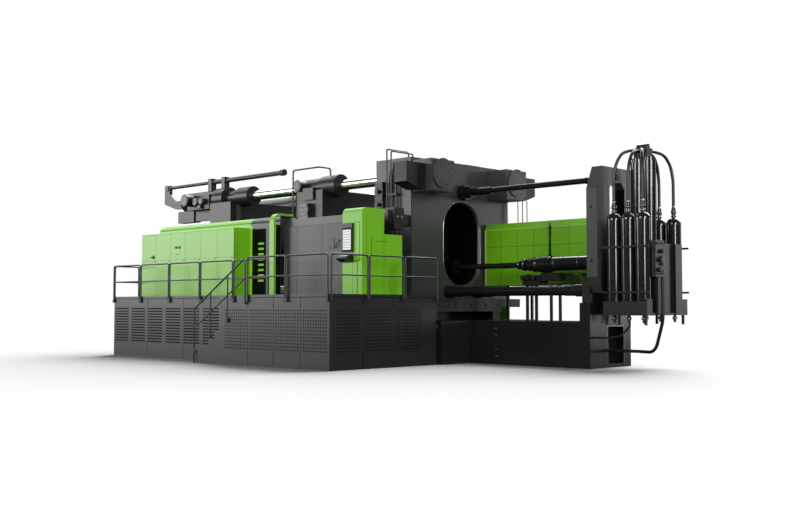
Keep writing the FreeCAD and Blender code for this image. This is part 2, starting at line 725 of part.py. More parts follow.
# ================================================================ tie bars
parts["upper_near_tie_bar"] = cyl_x(TIE_X0, TIE_X1, -TIE_Y, TIE_ZU, TIE_R)
parts["fixed_tie_bars"] = Part.makeCompound([
    cyl_x(TIE_X0, TIE_X1, TIE_Y, TIE_ZU, TIE_R),
    cyl_x(TIE_LOW_X0, -PLATEN_T / 2.0, -TIE_Y, TIE_ZL, TIE_R),
    cyl_x(TIE_LOW_X0, -PLATEN_T / 2.0, TIE_Y, TIE_ZL, TIE_R),
])

clamps = []
for s in (-1, 1):
    bore = TIE_R + (RUN if s < 0 else SEAT)
    side = s * TIE_Y
    shapes = [
        cyl_x(CLAMP_X0, REAR_X0, side, TIE_ZU, CLAMP_R),
        cyl_x(REAR_X0, NECK_X0, side, TIE_ZU, CLAMP_RING_R),
        cyl_x(NECK_X0, NECK_X1, side, TIE_ZU, NECK_R),
        cyl_x(NECK_X1, COLLAR_X1, side, TIE_ZU, COLLAR_R),
        box(CLAMP_X0 + CHEST_X[0], REAR_X0 - CHEST_X[1], min(side, side + s * CHEST_D),
            max(side, side + s * CHEST_D), TIE_ZU + CHEST_Z[0], TIE_ZU + CHEST_Z[1]),
        box(CLAMP_X0 + PUMP_X[0], CLAMP_X0 + PUMP_X[1], side - PUMP_HALF, side + PUMP_HALF,
            TIE_ZU + PUMP_Z[0], TIE_ZU + PUMP_Z[1]),
        box(CLAMP_X0 + PUMP_X[1], REAR_X0, side - BEAM_HALF, side + BEAM_HALF,
            TIE_ZU + BEAM_Z[0], TIE_ZU + BEAM_Z[1]),
    ]
    motor_y0 = side + s * (CHEST_D - MOTOR_SINK)
    motor_y1 = motor_y0 + s * MOTOR_L
    shapes.append(cyl_y(min(motor_y0, motor_y1), max(motor_y0, motor_y1), CLAMP_X0 + MOTOR_X,
                        TIE_ZU + MOTOR_SINK, MOTOR_R))
    body = fuse(shapes).cut(cyl_x(CLAMP_X0 - 1, COLLAR_X1 + 1, side, TIE_ZU, bore))
    clamps.append(body.removeSplitter())
parts["clamp_cylinders"] = Part.makeCompound(clamps)

rear = box(REAR_X0, REAR_X1, -BED_HALF + 20, BED_HALF - 20, BED_Z, REAR_TOP)
rear = rear.cut(cyl_x(REAR_X0 - 1, REAR_X1 + 1, 0, CLOSE_Z, CLOSE_ROD_R + RUN))
for s in (-1, 1):
    rear = rear.cut(cyl_x(REAR_X0 - 1, NECK_X0 + SEAT, s * TIE_Y, TIE_ZU,
                          CLAMP_RING_R + SEAT))
    rear = rear.cut(cyl_x(NECK_X0 - SEAT, REAR_X1 + 1, s * TIE_Y, TIE_ZU, NECK_R + SEAT))
    rear = rear.cut(cyl_x(REAR_X0 - 1, REAR_X1 + 1, s * TIE_Y, TIE_ZL, TIE_R + SEAT))
parts["rear_platen"] = rear.removeSplitter()

closing = fuse([cyl_x(CLOSE_X0, REAR_X0 - CLOSE_FLANGE, 0, CLOSE_Z, CLOSE_R),
                cyl_x(REAR_X0 - CLOSE_FLANGE, REAR_X0, 0, CLOSE_Z, CLOSE_FLANGE_R)])
parts["closing_cylinder"] = closing.cut(
    cyl_x(CLOSE_X0 + CLOSE_CAP, REAR_X0 + 1, 0, CLOSE_Z, CLOSE_ROD_R + SEAT))
parts["closing_rod"] = cyl_x(CLOSE_ROD_X0, MOVE_X0, 0, CLOSE_Z, CLOSE_ROD_R)

# ---------------------------------------------------------------- moving platen
moving = box(MOVE_X0, MOVE_X1, -MOVE_HALF, MOVE_HALF, BED_Z + SLIDE, MOVE_TOP)
for s in (-1, 1):
    moving = moving.cut(cyl_x(MOVE_X0 - 1, GUIDE_X1, s * TIE_Y, TIE_ZU, GUIDE_R + SEAT))
    moving = moving.cut(cyl_x(GUIDE_X1 - SEAT, MOVE_X1 + 1, s * TIE_Y, TIE_ZU,
                              GUIDE_COLLAR_R + SEAT))
    moving = moving.cut(cyl_x(MOVE_X0 - 1, MOVE_X1 + 1, s * TIE_Y, TIE_ZL, TIE_R + RUN))
parts["moving_platen"] = moving.removeSplitter()

guides = []
for s in (-1, 1):
    side = s * TIE_Y
    cap_y0 = side + s * CAP_Y
    cap_y1 = cap_y0 + s * CAP_L
    edge = s * MOVE_HALF
    box_y1 = s * (MOVE_HALF + GUIDE_BOX_OUT)
    box_x0 = MOVE_X0 + GUIDE_BOX_X[0]
    box_x1 = MOVE_X0 + GUIDE_BOX_X[1]
    box_z1 = MOVE_TOP + GUIDE_BOX_UP
    shapes = [
        cyl_x(MOVE_X0, GUIDE_X1, side, TIE_ZU, GUIDE_R),
        cyl_x(GUIDE_X1, GUIDE_COLLAR_X1, side, TIE_ZU, GUIDE_COLLAR_R),
        cyl_y(min(cap_y0, cap_y1), max(cap_y0, cap_y1), MOVE_X0 + CAP_X, TIE_ZU + CAP_RISE,
              CAP_R),
        box(box_x0, box_x1, min(edge, box_y1), max(edge, box_y1), MOVE_TOP - GUIDE_BOX_DOWN,
            box_z1),
        box(box_x0, box_x1, min(cap_y0, box_y1), max(cap_y0, box_y1), MOVE_TOP, box_z1),
    ]
    body = fuse(shapes).cut(
        cyl_x(MOVE_X0 - 1, GUIDE_COLLAR_X1 + 1, side, TIE_ZU, TIE_R + RUN))
    guides.append(body.removeSplitter())
parts["tie_bar_guides"] = Part.makeCompound(guides)

# pipe frame and stacked valves on the operator side of the moving platen
pipe_x0 = MOVE_X0 - FRAME_PIPE_OUT
pipe_x1 = pipe_x0 + FRAME_PIPE_L
pipe_y = -MOVE_HALF - FRAME_PIPE_OUT
guide_pipes = fuse([
    pipe([(pipe_x0, pipe_y, FRAME_PIPE_Z0), (pipe_x0, pipe_y, FRAME_PIPE_Z1),
          (pipe_x1, pipe_y, FRAME_PIPE_Z1), (pipe_x1, -TIE_Y, FRAME_PIPE_Z1),
          (pipe_x1, -TIE_Y, TIE_ZU + GUIDE_COLLAR_R)], FRAME_PIPE_BEND, FRAME_PIPE_R),
    box(pipe_x0 - 40, MOVE_X0 + 2 * FRAME_PIPE_OUT, pipe_y - 40, -MOVE_HALF, FRAME_PIPE_Z0,
        FRAME_PIPE_Z0 + 2 * FRAME_PIPE_OUT),
])
stack = []
for k in range(STACK):
    inset = STACK_STEP * (k % 2)
    z = STACK_Z0 + STACK_H * k
    stack.append(box(MOVE_X0 + STACK_X[0] + inset, MOVE_X0 + STACK_X[1] - inset,
                     -MOVE_HALF - STACK_D, -MOVE_HALF, z, z + STACK_H))
parts["guide_valves"] = Part.makeCompound([guide_pipes, fuse(stack)])

# ================================================================ tie bar puller
barrel = fuse([
    cyl_x(PULL_X0, PULL_X1, -TIE_Y, PULL_Z, PULL_R),
    cyl_x(PULL_X1 - PULL_HEAD, PULL_X1, -TIE_Y, PULL_Z, PULL_HEAD_R),
] + [
    box(PULL_X0 + x0, PULL_X0 + x1, -TIE_Y - PULL_FOOT_HALF, -TIE_Y + PULL_FOOT_HALF,
        TIE_ZU + CLAMP_R - PULL_FOOT_IN, PULL_Z + PULL_FOOT_TOP) for x0, x1 in PULL_FOOT_X
])
barrel = barrel.cut(
    cyl_x(PULL_X0 - 1, PULL_X1 - PULL_FOOT_IN, -TIE_Y, PULL_Z, PULL_ROD_R + SEAT))
seat_cut = fuse([cyl_x(CLAMP_X0, REAR_X0, -TIE_Y, TIE_ZU, CLAMP_R + SEAT),
                 cyl_x(REAR_X0, NECK_X0, -TIE_Y, TIE_ZU, CLAMP_RING_R + SEAT)])
parts["puller_barrel"] = barrel.cut(seat_cut)
parts["puller_rod"] = cyl_x(PULL_ROD_X0, PULL_ROD_X1, -TIE_Y, PULL_Z, PULL_ROD_R)
parts["puller_arm"] = fuse([
    prism([(ARM_X0, ARM_Z[1]), (ARM_X0 + ARM_X[2], ARM_Z[0]), (TIE_X0, ARM_Z[0]),
           (TIE_X0, ARM_Z[2]), (ARM_X0 + ARM_X[3], ARM_Z[2]), (ARM_X0 + ARM_X[0], ARM_Z[3]),
           (ARM_X0 + ARM_X[1], PULL_Z + ARM_TOP), (ARM_X0, PULL_Z + ARM_TOP)],
          "y", -TIE_Y - ARM_T / 2.0, ARM_T),
    cyl_y(-TIE_Y - ARM_PIN_HALF, -TIE_Y + ARM_PIN_HALF, ARM_X0 + ARM_PIN_X, PULL_Z,
          ARM_PIN_R),
])

# ================================================================ operator-side guards
body_y0 = CAB_Y0 + LEDGE_D
cabinet = [
    box(CAB_X0, CAB_X1, body_y0, GUARD_Y0, DECK_Z, CAB_Z1),
    box(CAB_X0, CAB_X1, CAB_Y0, body_y0, DECK_Z, DECK_Z + PLINTH_H),
    box(CAB_X0, CAB_X1, CAB_Y0, body_y0, CAB_Z1 - TOP_LEDGE_H, CAB_Z1),
]
leaf_z0 = DECK_Z + PLINTH_H + RUN
leaf_z1 = CAB_Z1 - TOP_LEDGE_H - RUN
pitch = (CAB_X1 - CAB_X0) / CAB_DOORS
pin_y = CAB_Y0 + LEAF_T / 2.0
leaves = []
for k in range(CAB_DOORS):
    x0 = CAB_X0 + k * pitch + LEAF_GAP / 2.0
    x1 = CAB_X0 + (k + 1) * pitch - LEAF_GAP / 2.0
    px = x0 + PIN_IN
    leaf = box(x0, x1, CAB_Y0, CAB_Y0 + LEAF_T, leaf_z0, leaf_z1)
    for z0, z1 in ((leaf_z0 - PIN_ROOT, leaf_z0 + PIN_L + RUN),
                   (leaf_z1 - PIN_L - RUN, leaf_z1 + PIN_ROOT)):
        leaf = leaf.cut(cyl_z(z0, z1, px, pin_y, PIN_R + SEAT))
    leaves.append(leaf)
    cabinet.append(cyl_z(leaf_z0 - RUN - PIN_ROOT, leaf_z0 + PIN_L, px, pin_y, PIN_R))
    cabinet.append(cyl_z(leaf_z1 - PIN_L, leaf_z1 + RUN + PIN_ROOT, px, pin_y, PIN_R))
cabinet.append(box(PLAT_X0 + CAB_ANNEX_X, CAB_X0, CAB_Y0 + CAB_ANNEX_Y,
                   -BED_HALF - CAB_ANNEX_GAP, DECK_Z, CAB_Z1 - CAB_ANNEX_Z))
parts["electrical_cabinet"] = fuse(cabinet)
for k, leaf in enumerate(leaves):
    parts["cabinet_door_%d" % (k + 1)] = leaf
parts["rear_guard"] = bent_sheet(GUARD_Y0, GUARD_Z1, GUARD_D, GUARD_T, GUARD_BEND,
                                 CAB_X0 + GUARD_IN, SIGN_X0, DECK_Z)
parts["sign_panel"] = bent_sheet(GUARD_Y0, GUARD_Z1, GUARD_D, GUARD_T, GUARD_BEND,
                                 SIGN_X0, PORTAL_X1, DECK_Z)
portal = bent_sheet(GUARD_Y0 - PORTAL_PROUD, GUARD_Z1 + PORTAL_RISE,
                    GUARD_D + PORTAL_PROUD, PORTAL_RISE, GUARD_BEND, PORTAL_X0, PORTAL_X1,
                    DECK_Z)
fill = box(PORTAL_X0, PORTAL_X1, GUARD_Y0 - PORTAL_PROUD + PORTAL_RISE, GUARD_Y0, DECK_Z,
           GUARD_Z1 - GUARD_BEND)
parts["guard_portal"] = fuse([portal, fill])

door_y0 = GUARD_Y0 + GUARD_T + HANDLE_OUT + RUN
roller_z = DECK_Z + TRACK_H + SLIDE + ROLLER_R
door_z0 = roller_z + DOOR_CLEAR
door = [prism([(door_y0, door_z0), (door_y0, DOOR_FOLD_Z),
               (door_y0 + DOOR_LEAN, DOOR_Z1), (door_y0 + DOOR_LEAN + DOOR_T, DOOR_Z1),
               (door_y0 + DOOR_T, DOOR_FOLD_Z - DOOR_FOLD_IN), (door_y0 + DOOR_T, door_z0)],
              "x", DOOR_X0, DOOR_X1 - DOOR_X0)]
for x in (DOOR_X0 + ROLLER_IN, DOOR_X1 - ROLLER_IN):
    door.append(cyl_y(door_y0 + ROLLER_Y[0], door_y0 + ROLLER_Y[1], x, roller_z, ROLLER_R))
handle_y = door_y0 - HANDLE_OUT + HANDLE_R
handle_x0 = DOOR_X1 - HANDLE_IN + HANDLE_X[0]
handle_x1 = DOOR_X1 - HANDLE_IN + HANDLE_X[1]
door.append(pipe([(handle_x0, door_y0 + 1, HANDLE_Z[0]), (handle_x0, handle_y, HANDLE_Z[0]),
                  (handle_x1, handle_y, HANDLE_Z[1]), (handle_x1, door_y0 + 1, HANDLE_Z[1])],
                 HANDLE_BEND, HANDLE_R))
parts["safety_door"] = fuse(door)
parts["door_track"] = box(DOOR_X0 - DOOR_TRAVEL, DOOR_X1 + TRACK_OVER,
                          door_y0 + TRACK_Y[0], door_y0 + TRACK_Y[1], DECK_Z,
                          DECK_Z + TRACK_H)

# ---------------------------------------------------------------- control tower
outline = [(TOWER_Y1, DECK_Z), (TOWER_Y0, DECK_Z)]
for k in range(TOWER_STEPS + 1):
    a = k * math.pi / 2.0 / TOWER_STEPS
    outline.append((TOWER_Y0 + TOWER_BEND * (1 - math.cos(a)),
                    TOWER_Z1 - TOWER_BEND * (1 - math.sin(a))))
outline.append((TOWER_Y1, TOWER_Z1))
tower = prism(outline, "x", TOWER_X0, TOWER_X1 - TOWER_X0)
annex = box(TOWER_X0, TOWER_X1, TOWER_Y1, ANNEX_Y1, DECK_Z, ANNEX_Z1)
parts["control_tower"] = fuse([tower, annex])
screen = box(TOWER_X0 + SCREEN_X[0], TOWER_X1 + SCREEN_X[1], TOWER_Y0 - SCREEN_D, TOWER_Y0,
             SCREEN_Z[0], SCREEN_Z[1])
shelf = prism([(TOWER_Y0, SHELF_Z[0]), (TOWER_Y0 - SCREEN_D, SHELF_Z[0]),
               (TOWER_Y0 - SHELF_D, SHELF_Z[1]), (TOWER_Y0 - SHELF_D, SHELF_Z[2]),
               (TOWER_Y0, SHELF_Z[3])], "x", TOWER_X0, SHELF_L)
parts["operator_panel"] = Part.makeCompound([screen, shelf])
far = [mirror_y(bent_sheet(-FAR_Y, FAR_Z1, GUARD_D, GUARD_T, GUARD_BEND, CAB_X0, FAR_X1, 0.0))]
far_x0 = CAB_X0 + FAR_BRACKET_IN
for k in range(FAR_BRACKETS):
    x = far_x0 + (FAR_X1 - 2 * POST - far_x0) * k / (FAR_BRACKETS - 1)
    far.append(box(x, x + POST, BED_HALF, FAR_Y - GUARD_T, BED_Z - 2 * POST, BED_Z - POST))
parts["far_guard"] = fuse(far)

# ================================================================ injection unit
foot_z = FRAME_Z0 + FRAME_CH_Z * FRAME_FOOT
ring = [
    (-FRAME_HALF, foot_z), (-FRAME_HALF, FRAME_Z1 - FRAME_CH_Z),
    (-FRAME_HALF + FRAME_CH_Y, FRAME_Z1), (FRAME_HALF - FRAME_CH_Y, FRAME_Z1),
    (FRAME_HALF, FRAME_Z1 - FRAME_CH_Z), (FRAME_HALF, foot_z),
    (FRAME_HALF - FRAME_CH_Y, FRAME_Z0), (-FRAME_HALF + FRAME_CH_Y, FRAME_Z0),
]
window = [
    (-WINDOW_HALF, WINDOW_Z0), (-WINDOW_HALF, WINDOW_Z1 - WINDOW_CH),
    (-WINDOW_HALF + WINDOW_CH, WINDOW_Z1), (WINDOW_HALF - WINDOW_CH, WINDOW_Z1),
    (WINDOW_HALF, WINDOW_Z1 - WINDOW_CH), (WINDOW_HALF, WINDOW_Z0),
]
frame = prism(ring, "x", FRAME_X0, FRAME_X1 - FRAME_X0)
frame = frame.cut(prism(window, "x", FRAME_X0 - 1, FRAME_X1 - FRAME_X0 + 2))
frame = frame.cut(cyl_x(FRAME_X0 - 1, FRAME_X1 + 1, 0, SHOT_Z, SHOT_R + SEAT))
parts["shot_frame"] = frame

saddle = [box(upright_x0, BASE_X1, -BASE_HALF + SADDLE_IN, BASE_HALF - SADDLE_IN,
              UPRIGHT_Z, FRAME_Z0)]
for y in (-ROD_LOW_Y, ROD_LOW_Y):
    saddle.append(box(upright_x0, FRAME_X0, y - SADDLE_HALF, y + SADDLE_HALF, FRAME_Z0,
                      FRAME_Z0 + SADDLE_H))
parts["frame_saddle"] = fuse(saddle)

ring_x0, ring_x1, ring_r = ROD_UP_RING
upper = [cyl_x(0, FRAME_X0, 0, ROD_UP_Z, ROD_UP_R),
         cyl_x(FRAME_X0 - ring_x0, FRAME_X0 - ring_x1, 0, ROD_UP_Z, ring_r)]
upper += [cyl_x(x0, x1, 0, ROD_UP_Z, radius) for x0, x1, radius in ROD_UP_NUTS]
rods = [fuse(upper)]
for y in (-ROD_LOW_Y, ROD_LOW_Y):
    lower = [cyl_x(0, upright_x0, y, ROD_LOW_Z, ROD_LOW_R)]
    lower += [cyl_x(x0, x1, y, ROD_LOW_Z, radius) for x0, x1, radius in ROD_LOW_NUTS]
    lower += [cyl_x(upright_x0 - x0, upright_x0 - x1, y, ROD_LOW_Z, radius)
              for x0, x1, radius in ROD_LOW_RINGS]
    rods.append(fuse(lower))
parts["shot_tie_rods"] = Part.makeCompound(rods)

cylinder = fuse([
    cyl_x(SHOT_X0, FRAME_X1, 0, SHOT_Z, SHOT_R),
    cyl_x(SHOT_X0 - FLANGE_L, SHOT_X0, 0, SHOT_Z, FLANGE_R),
    cyl_x(SHOT_X0, SHOT_X0 + SHOT_RING, 0, SHOT_Z, SHOT_RING_R),
])
parts["shot_cylinder"] = cylinder.cut(
    cyl_x(SHOT_X0 - FLANGE_L - 1, FRAME_X1 - SHOT_CAP, 0, SHOT_Z, PISTON_R + SEAT))

coup_x1 = SHOT_X0 - FLANGE_L - RUN
coup_x0 = coup_x1 - COUPLING_L
plunger = [cyl_x(PLUNGER_X0, coup_x0, 0, SHOT_Z, PLUNGER_R),
           cyl_x(coup_x1, FRAME_X1 - SHOT_STROKE_IN, 0, SHOT_Z, PISTON_R)]
plunger += [cyl_x(coup_x0 + x0, coup_x0 + x1, 0, SHOT_Z, radius) for x0, x1, radius in COUPLING]
parts["shot_plunger"] = fuse(plunger)

mani_top = SHOT_Z - FLANGE_R - SLIDE
front_half, front_reach, front_h = MANI_FRONT
back_x, back_y0, back_y1, back_foot, back_top = MANI_BACK
pipe_drop, pipe_r = MANI_PIPE
manifold = [
    box(SHOT_X0 - FLANGE_L, SHOT_X0 + front_reach, -front_half, front_half,
        mani_top - front_h, mani_top),
    box(SHOT_X0 - back_x, SHOT_X0 - FLANGE_L, back_y0, back_y1, mani_top - back_foot,
        mani_top - back_top),
    cyl_x(SHOT_X0 + front_reach, FRAME_X0, 0, mani_top - pipe_drop, pipe_r),
]
manifold += [cyl_y(-out, back_y0, SHOT_X0 - x, mani_top - down, radius)
             for x, out, down, radius in MANI_PORTS]
parts["shot_valve_manifold"] = fuse(manifold)

# ---------------------------------------------------------------- side enclosure
parts["side_enclosure"] = prism(
    [(ENC_Y0, ENC_Z0), (ENC_Y0, ENC_Z1 - ENC_CH), (ENC_Y0 + ENC_CH_IN, ENC_Z1),
     (ENC_Y1, ENC_Z1), (ENC_Y1, ENC_Z0)], "x", ENC_X0, ENC_X1 - ENC_X0)
legs = []
for x in ENC_LEG_X:
    for y in (ENC_Y0 + ENC_LEG_IN[0], ENC_Y1 - ENC_LEG_IN[1]):
        on_bed = x - ENC_LEG / 2 < BED_X1 and y - ENC_LEG / 2 < BED_HALF
        foot = BED_Z if on_bed else 0.0
        legs.append(box(x - ENC_LEG / 2, x + ENC_LEG / 2, y - ENC_LEG / 2, y + ENC_LEG / 2,
                        foot, ENC_Z0))
parts["enclosure_legs"] = Part.makeCompound(legs)

# ================================================================ accumulators
rack_floor = RACK_Z0 + RACK_FLOOR
core_x0 = RACK_X0 + RACK_CORE_IN[0]
core_x1 = RACK_X1 - RACK_CORE_IN[1]
rack = [
    box(RACK_X0, RACK_X1, -RACK_HALF + TRAY_T, RACK_HALF - TRAY_T, RACK_Z0, rack_floor),
    box(core_x0, core_x1, -CORE_HALF, CORE_HALF, rack_floor, CORE_Z1),
    box(FRAME_X1, core_x0, -CORE_HALF + RACK_BRIDGE_IN, CORE_HALF - RACK_BRIDGE_IN,
        RACK_BRIDGE_Z[0], RACK_BRIDGE_Z[1]),
]
for s in (-1, 1):
    y0 = min(s * RACK_HALF, s * (RACK_HALF - TRAY_T))
    rack.append(box(RACK_X0, RACK_X1, y0, y0 + TRAY_T, RACK_Z0, RACK_Z0 + TRAY_H))
    y0 = min(s * RACK_HALF, s * (RACK_HALF - END_LIP))
    rack.append(box(RACK_X1, RACK_X1 + TRAY_T, y0, y0 + END_LIP, RACK_Z0,
                    RACK_Z0 + TRAY_H + END_LIP_H))
    y = s * (RACK_HALF - RACK_LEG_IN)
    for x in RACK_LEG_X:
        rack.append(box(x - RACK_LEG_HALF, x + RACK_LEG_HALF, y - RACK_LEG_HALF,
                        y + RACK_LEG_HALF, RACK_Z0 - RACK_LEG_H, RACK_Z0))
rack.append(box(core_x1, RACK_X1, END_PANEL_Y, CORE_HALF, rack_floor, CORE_Z1))
rack.append(box(RACK_X1, RACK_X1 + TRAY_T, END_PANEL_Y, RACK_HALF - END_LIP, RACK_Z0, CORE_Z1))
rack.append(box(core_x1, RACK_X1, -CORE_HALF, RACK_VALVE_Y1, rack_floor, CORE_Z1))
parts["accumulator_rack"] = fuse(rack)

valve_x1 = RACK_X1 + RACK_VALVE_T
valve_y = (RACK_VALVE_Y0 + RACK_VALVE_Y1) / 2.0
block = [box(RACK_X1, valve_x1, RACK_VALVE_Y0, RACK_VALVE_Y1, RACK_VALVE_Z0, RACK_VALVE_Z1)]
block += [cyl_x(valve_x1, valve_x1 + RACK_PORT_L, valve_y + y, RACK_VALVE_Z0 + z, radius)
          for y, z, radius in RACK_PORTS]
parts["rack_valve_block"] = fuse(block)

def bottle_top(side):
    return BOTTLE_Z1 - (BOTTLE_DROP if side > 0 else 0.0)

bottles = []
for s in (-1, 1):
    for x in BOTTLE_X:
        top = bottle_top(s)
        y = s * BOTTLE_Y
        shoulder = top - SHOULDER
        dome = Part.makeSphere(BOTTLE_R, V(x, y, shoulder), V(0, 0, 1), 0, 90, 360)
        bottles.append(fuse([
            cyl_z(rack_floor, shoulder, x, y, BOTTLE_R),
            dome,
            cyl_z(top - NECK_IN, top + NECK_OUT, x, y, NECK_BORE),
            cyl_z(top + NECK_OUT, top + NECK_OUT + VALVE_H, x, y, VALVE_R),
        ]))
parts["gas_bottles"] = Part.makeCompound(bottles)

# clamp bars that hold each row of bottles to the core
bars = []
for s in (-1, 1):
    y = s * (BOTTLE_Y + BOTTLE_R + STRAP_GAP)
    core_y = s * CORE_HALF
    tie_t, tie_h = TIE_PLATE
    for z in STRAP_Z:
        strap = [box(RACK_X0 - STRAP_OVER[0], RACK_X1 + STRAP_OVER[1], y - STRAP_T,
                     y + STRAP_T, z - STRAP_H, z + STRAP_H)]
        for x0, x1 in zip(BOTTLE_X, BOTTLE_X[1:]):
            x = (x0 + x1) / 2.0
            strap.append(box(x - tie_t, x + tie_t, min(core_y, y), max(core_y, y), z - tie_h,
                             z + tie_h))
        bars.append(fuse(strap))
parts["bottle_straps"] = Part.makeCompound(bars)

tall = []
for x in TALL_X:
    tall.append(fuse([cyl_z(CORE_Z1, TALL_Z1 - TALL_CAP_H, x, 0, TALL_R),
                      cyl_z(TALL_Z1 - TALL_CAP_H, TALL_Z1, x, 0, TALL_CAP_R)]))
parts["piston_accumulators"] = Part.makeCompound(tall)

mid_x = (TALL_X[0] + TALL_X[1]) / 2.0
mani_z1 = TALL_Z1 + MANIFOLD_H
parts["top_manifold"] = fuse([
    box(mid_x - MANIFOLD_HALF_X, mid_x + MANIFOLD_HALF_X, -MANIFOLD_HALF_Y, MANIFOLD_HALF_Y,
        TALL_Z1, mani_z1 - DRUM_R),
    cyl_x(mid_x - MANIFOLD_HALF_Y, mid_x + MANIFOLD_HALF_Y, 0, mani_z1 - DRUM_SINK, DRUM_R),
])

pipes = []
for s in (-1, 1):
    for k, x in enumerate(BOTTLE_X):
        x0 = mid_x + GAS_PIPE_STEP * (k - 1)
        z0 = mani_z1 - GAS_PIPE_DROPS[0] - GAS_PIPE_DROPS[1] * (k % 2)
        points = [(x0, s * MANIFOLD_HALF_Y, z0)]
        points += [(x0 + (x - x0) * share, s * y, z0 - down) for share, y, down in GAS_PIPE_BOWS]
        points.append((x, s * BOTTLE_Y, bottle_top(s) + NECK_OUT + VALVE_H))
        pipes.append(pipe(points, run_bends(points), GAS_PIPE_R))

feed_x = RACK_X1 + TRAY_T + FEED_R + 15
feed_y = RACK_VALVE_Y1 - 60
recess_y = RECESS_Y0 + 90
feed = pipe([(feed_x, feed_y, RACK_VALVE_Z0), (feed_x, feed_y, FEED_Z[0]),
             (feed_x - FEED_X[0], feed_y + 60, FEED_Z[1]), (FEED_X[1], recess_y, FEED_Z[1]),
             (BASE_X1 - RECESS_D, recess_y, FEED_Z[1])], FEED_BENDS, FEED_R)
drain = pipe(DRAIN_ROUTE, DRAIN_BENDS, DRAIN_R)
parts["accumulator_pipes"] = Part.makeCompound(pipes + [feed, drain])

# ================================================================ write the pieces
os.makedirs("parts", exist_ok=True)
for name, shape in parts.items():
    shape.exportStep("parts/%s.step" % name)
    if not shape.isValid():
        print("invalid", name)
print(len(parts), "nodes")
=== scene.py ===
"""Looks of the die casting machine: finishes, small fittings, floor, light and camera.
Everything is in metres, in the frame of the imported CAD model.
-Y is the operator's side, +X the injection end."""
import json
import math

import bpy
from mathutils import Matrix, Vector


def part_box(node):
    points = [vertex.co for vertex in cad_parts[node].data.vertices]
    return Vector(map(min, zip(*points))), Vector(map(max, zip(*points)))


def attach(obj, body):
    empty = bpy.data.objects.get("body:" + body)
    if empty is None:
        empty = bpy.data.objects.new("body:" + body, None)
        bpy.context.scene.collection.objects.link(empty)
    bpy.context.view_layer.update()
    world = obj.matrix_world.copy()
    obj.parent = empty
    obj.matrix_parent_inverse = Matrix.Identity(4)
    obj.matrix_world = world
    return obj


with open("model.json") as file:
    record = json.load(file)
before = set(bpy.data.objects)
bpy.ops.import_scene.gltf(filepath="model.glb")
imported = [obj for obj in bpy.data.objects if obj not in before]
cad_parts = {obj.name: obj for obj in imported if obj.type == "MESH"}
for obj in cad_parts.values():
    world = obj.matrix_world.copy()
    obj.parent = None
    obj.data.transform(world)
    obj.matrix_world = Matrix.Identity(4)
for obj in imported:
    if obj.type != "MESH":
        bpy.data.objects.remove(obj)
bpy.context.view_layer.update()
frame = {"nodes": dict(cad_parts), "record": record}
nodes = frame["nodes"]

BODY = "machine"
PROUD = 0.003        # how far flat trim stands off the face that it lies on
THIN = 0.002         # the same for the thinnest trim
SINK = 0.001         # how far trim reaches into that face
SEAM = 0.006         # half width of a panel joint
LID_OUT = 0.012      # how far a lid or bolt head stands out

GLOSS_DOWN = 0.05    # how far the fine noise lowers and raises the roughness
GLOSS_UP = 0.06
GLOSS_LEAST = 0.02
RAMP = (0.3, 0.7)
DRIFT_DETAIL = 3.0
FINE_DETAIL = 4.0
RELIEF = 0.002
COAT_ROUGH = 0.12


# ------------------------------------------------------------------ finishes
def finish_of(name, colour, rough, metal=0.0, coat=0.0, vary=0.08, patch=0.5, grain=22.0,
              bump=0.0, stretch=(1.0, 1.0, 1.0), specular=0.5):
    """Painted or bare metal with slow colour drift, fine gloss changes and a light texture."""
    mat = bpy.data.materials.new(name)
    mat.use_nodes = True
    tree = mat.node_tree
    shader = tree.nodes["Principled BSDF"]
    place = tree.nodes.new("ShaderNodeTexCoord")
    scaled = tree.nodes.new("ShaderNodeMapping")
    scaled.inputs["Scale"].default_value = stretch
    tree.links.new(place.outputs["Object"], scaled.inputs["Vector"])
    drift = tree.nodes.new("ShaderNodeTexNoise")
    drift.inputs["Scale"].default_value = patch
    drift.inputs["Detail"].default_value = DRIFT_DETAIL
    tree.links.new(scaled.outputs["Vector"], drift.inputs["Vector"])
    ramp = tree.nodes.new("ShaderNodeValToRGB")
    ramp.color_ramp.elements[0].position = RAMP[0]
    ramp.color_ramp.elements[1].position = RAMP[1]
    ramp.color_ramp.elements[0].color = [c * (1.0 - vary) for c in colour] + [1.0]
    ramp.color_ramp.elements[1].color = [min(1.0, c * (1.0 + vary)) for c in colour] + [1.0]
    tree.links.new(drift.outputs["Fac"], ramp.inputs["Fac"])
    tree.links.new(ramp.outputs["Color"], shader.inputs["Base Color"])
    fine = tree.nodes.new("ShaderNodeTexNoise")
    fine.inputs["Scale"].default_value = grain
    fine.inputs["Detail"].default_value = FINE_DETAIL
    tree.links.new(scaled.outputs["Vector"], fine.inputs["Vector"])
    gloss = tree.nodes.new("ShaderNodeMapRange")
    gloss.inputs["To Min"].default_value = max(GLOSS_LEAST, rough - GLOSS_DOWN)
    gloss.inputs["To Max"].default_value = rough + GLOSS_UP
    tree.links.new(fine.outputs["Fac"], gloss.inputs["Value"])
    tree.links.new(gloss.outputs["Result"], shader.inputs["Roughness"])
    if bump > 0.0:
        relief = tree.nodes.new("ShaderNodeBump")
        relief.inputs["Strength"].default_value = bump
        relief.inputs["Distance"].default_value = RELIEF
        tree.links.new(fine.outputs["Fac"], relief.inputs["Height"])
        tree.links.new(relief.outputs["Normal"], shader.inputs["Normal"])
    shader.inputs["Metallic"].default_value = metal
    shader.inputs["Specular IOR Level"].default_value = specular
    shader.inputs["Coat Weight"].default_value = coat
    shader.inputs["Coat Roughness"].default_value = COAT_ROUGH
    return mat


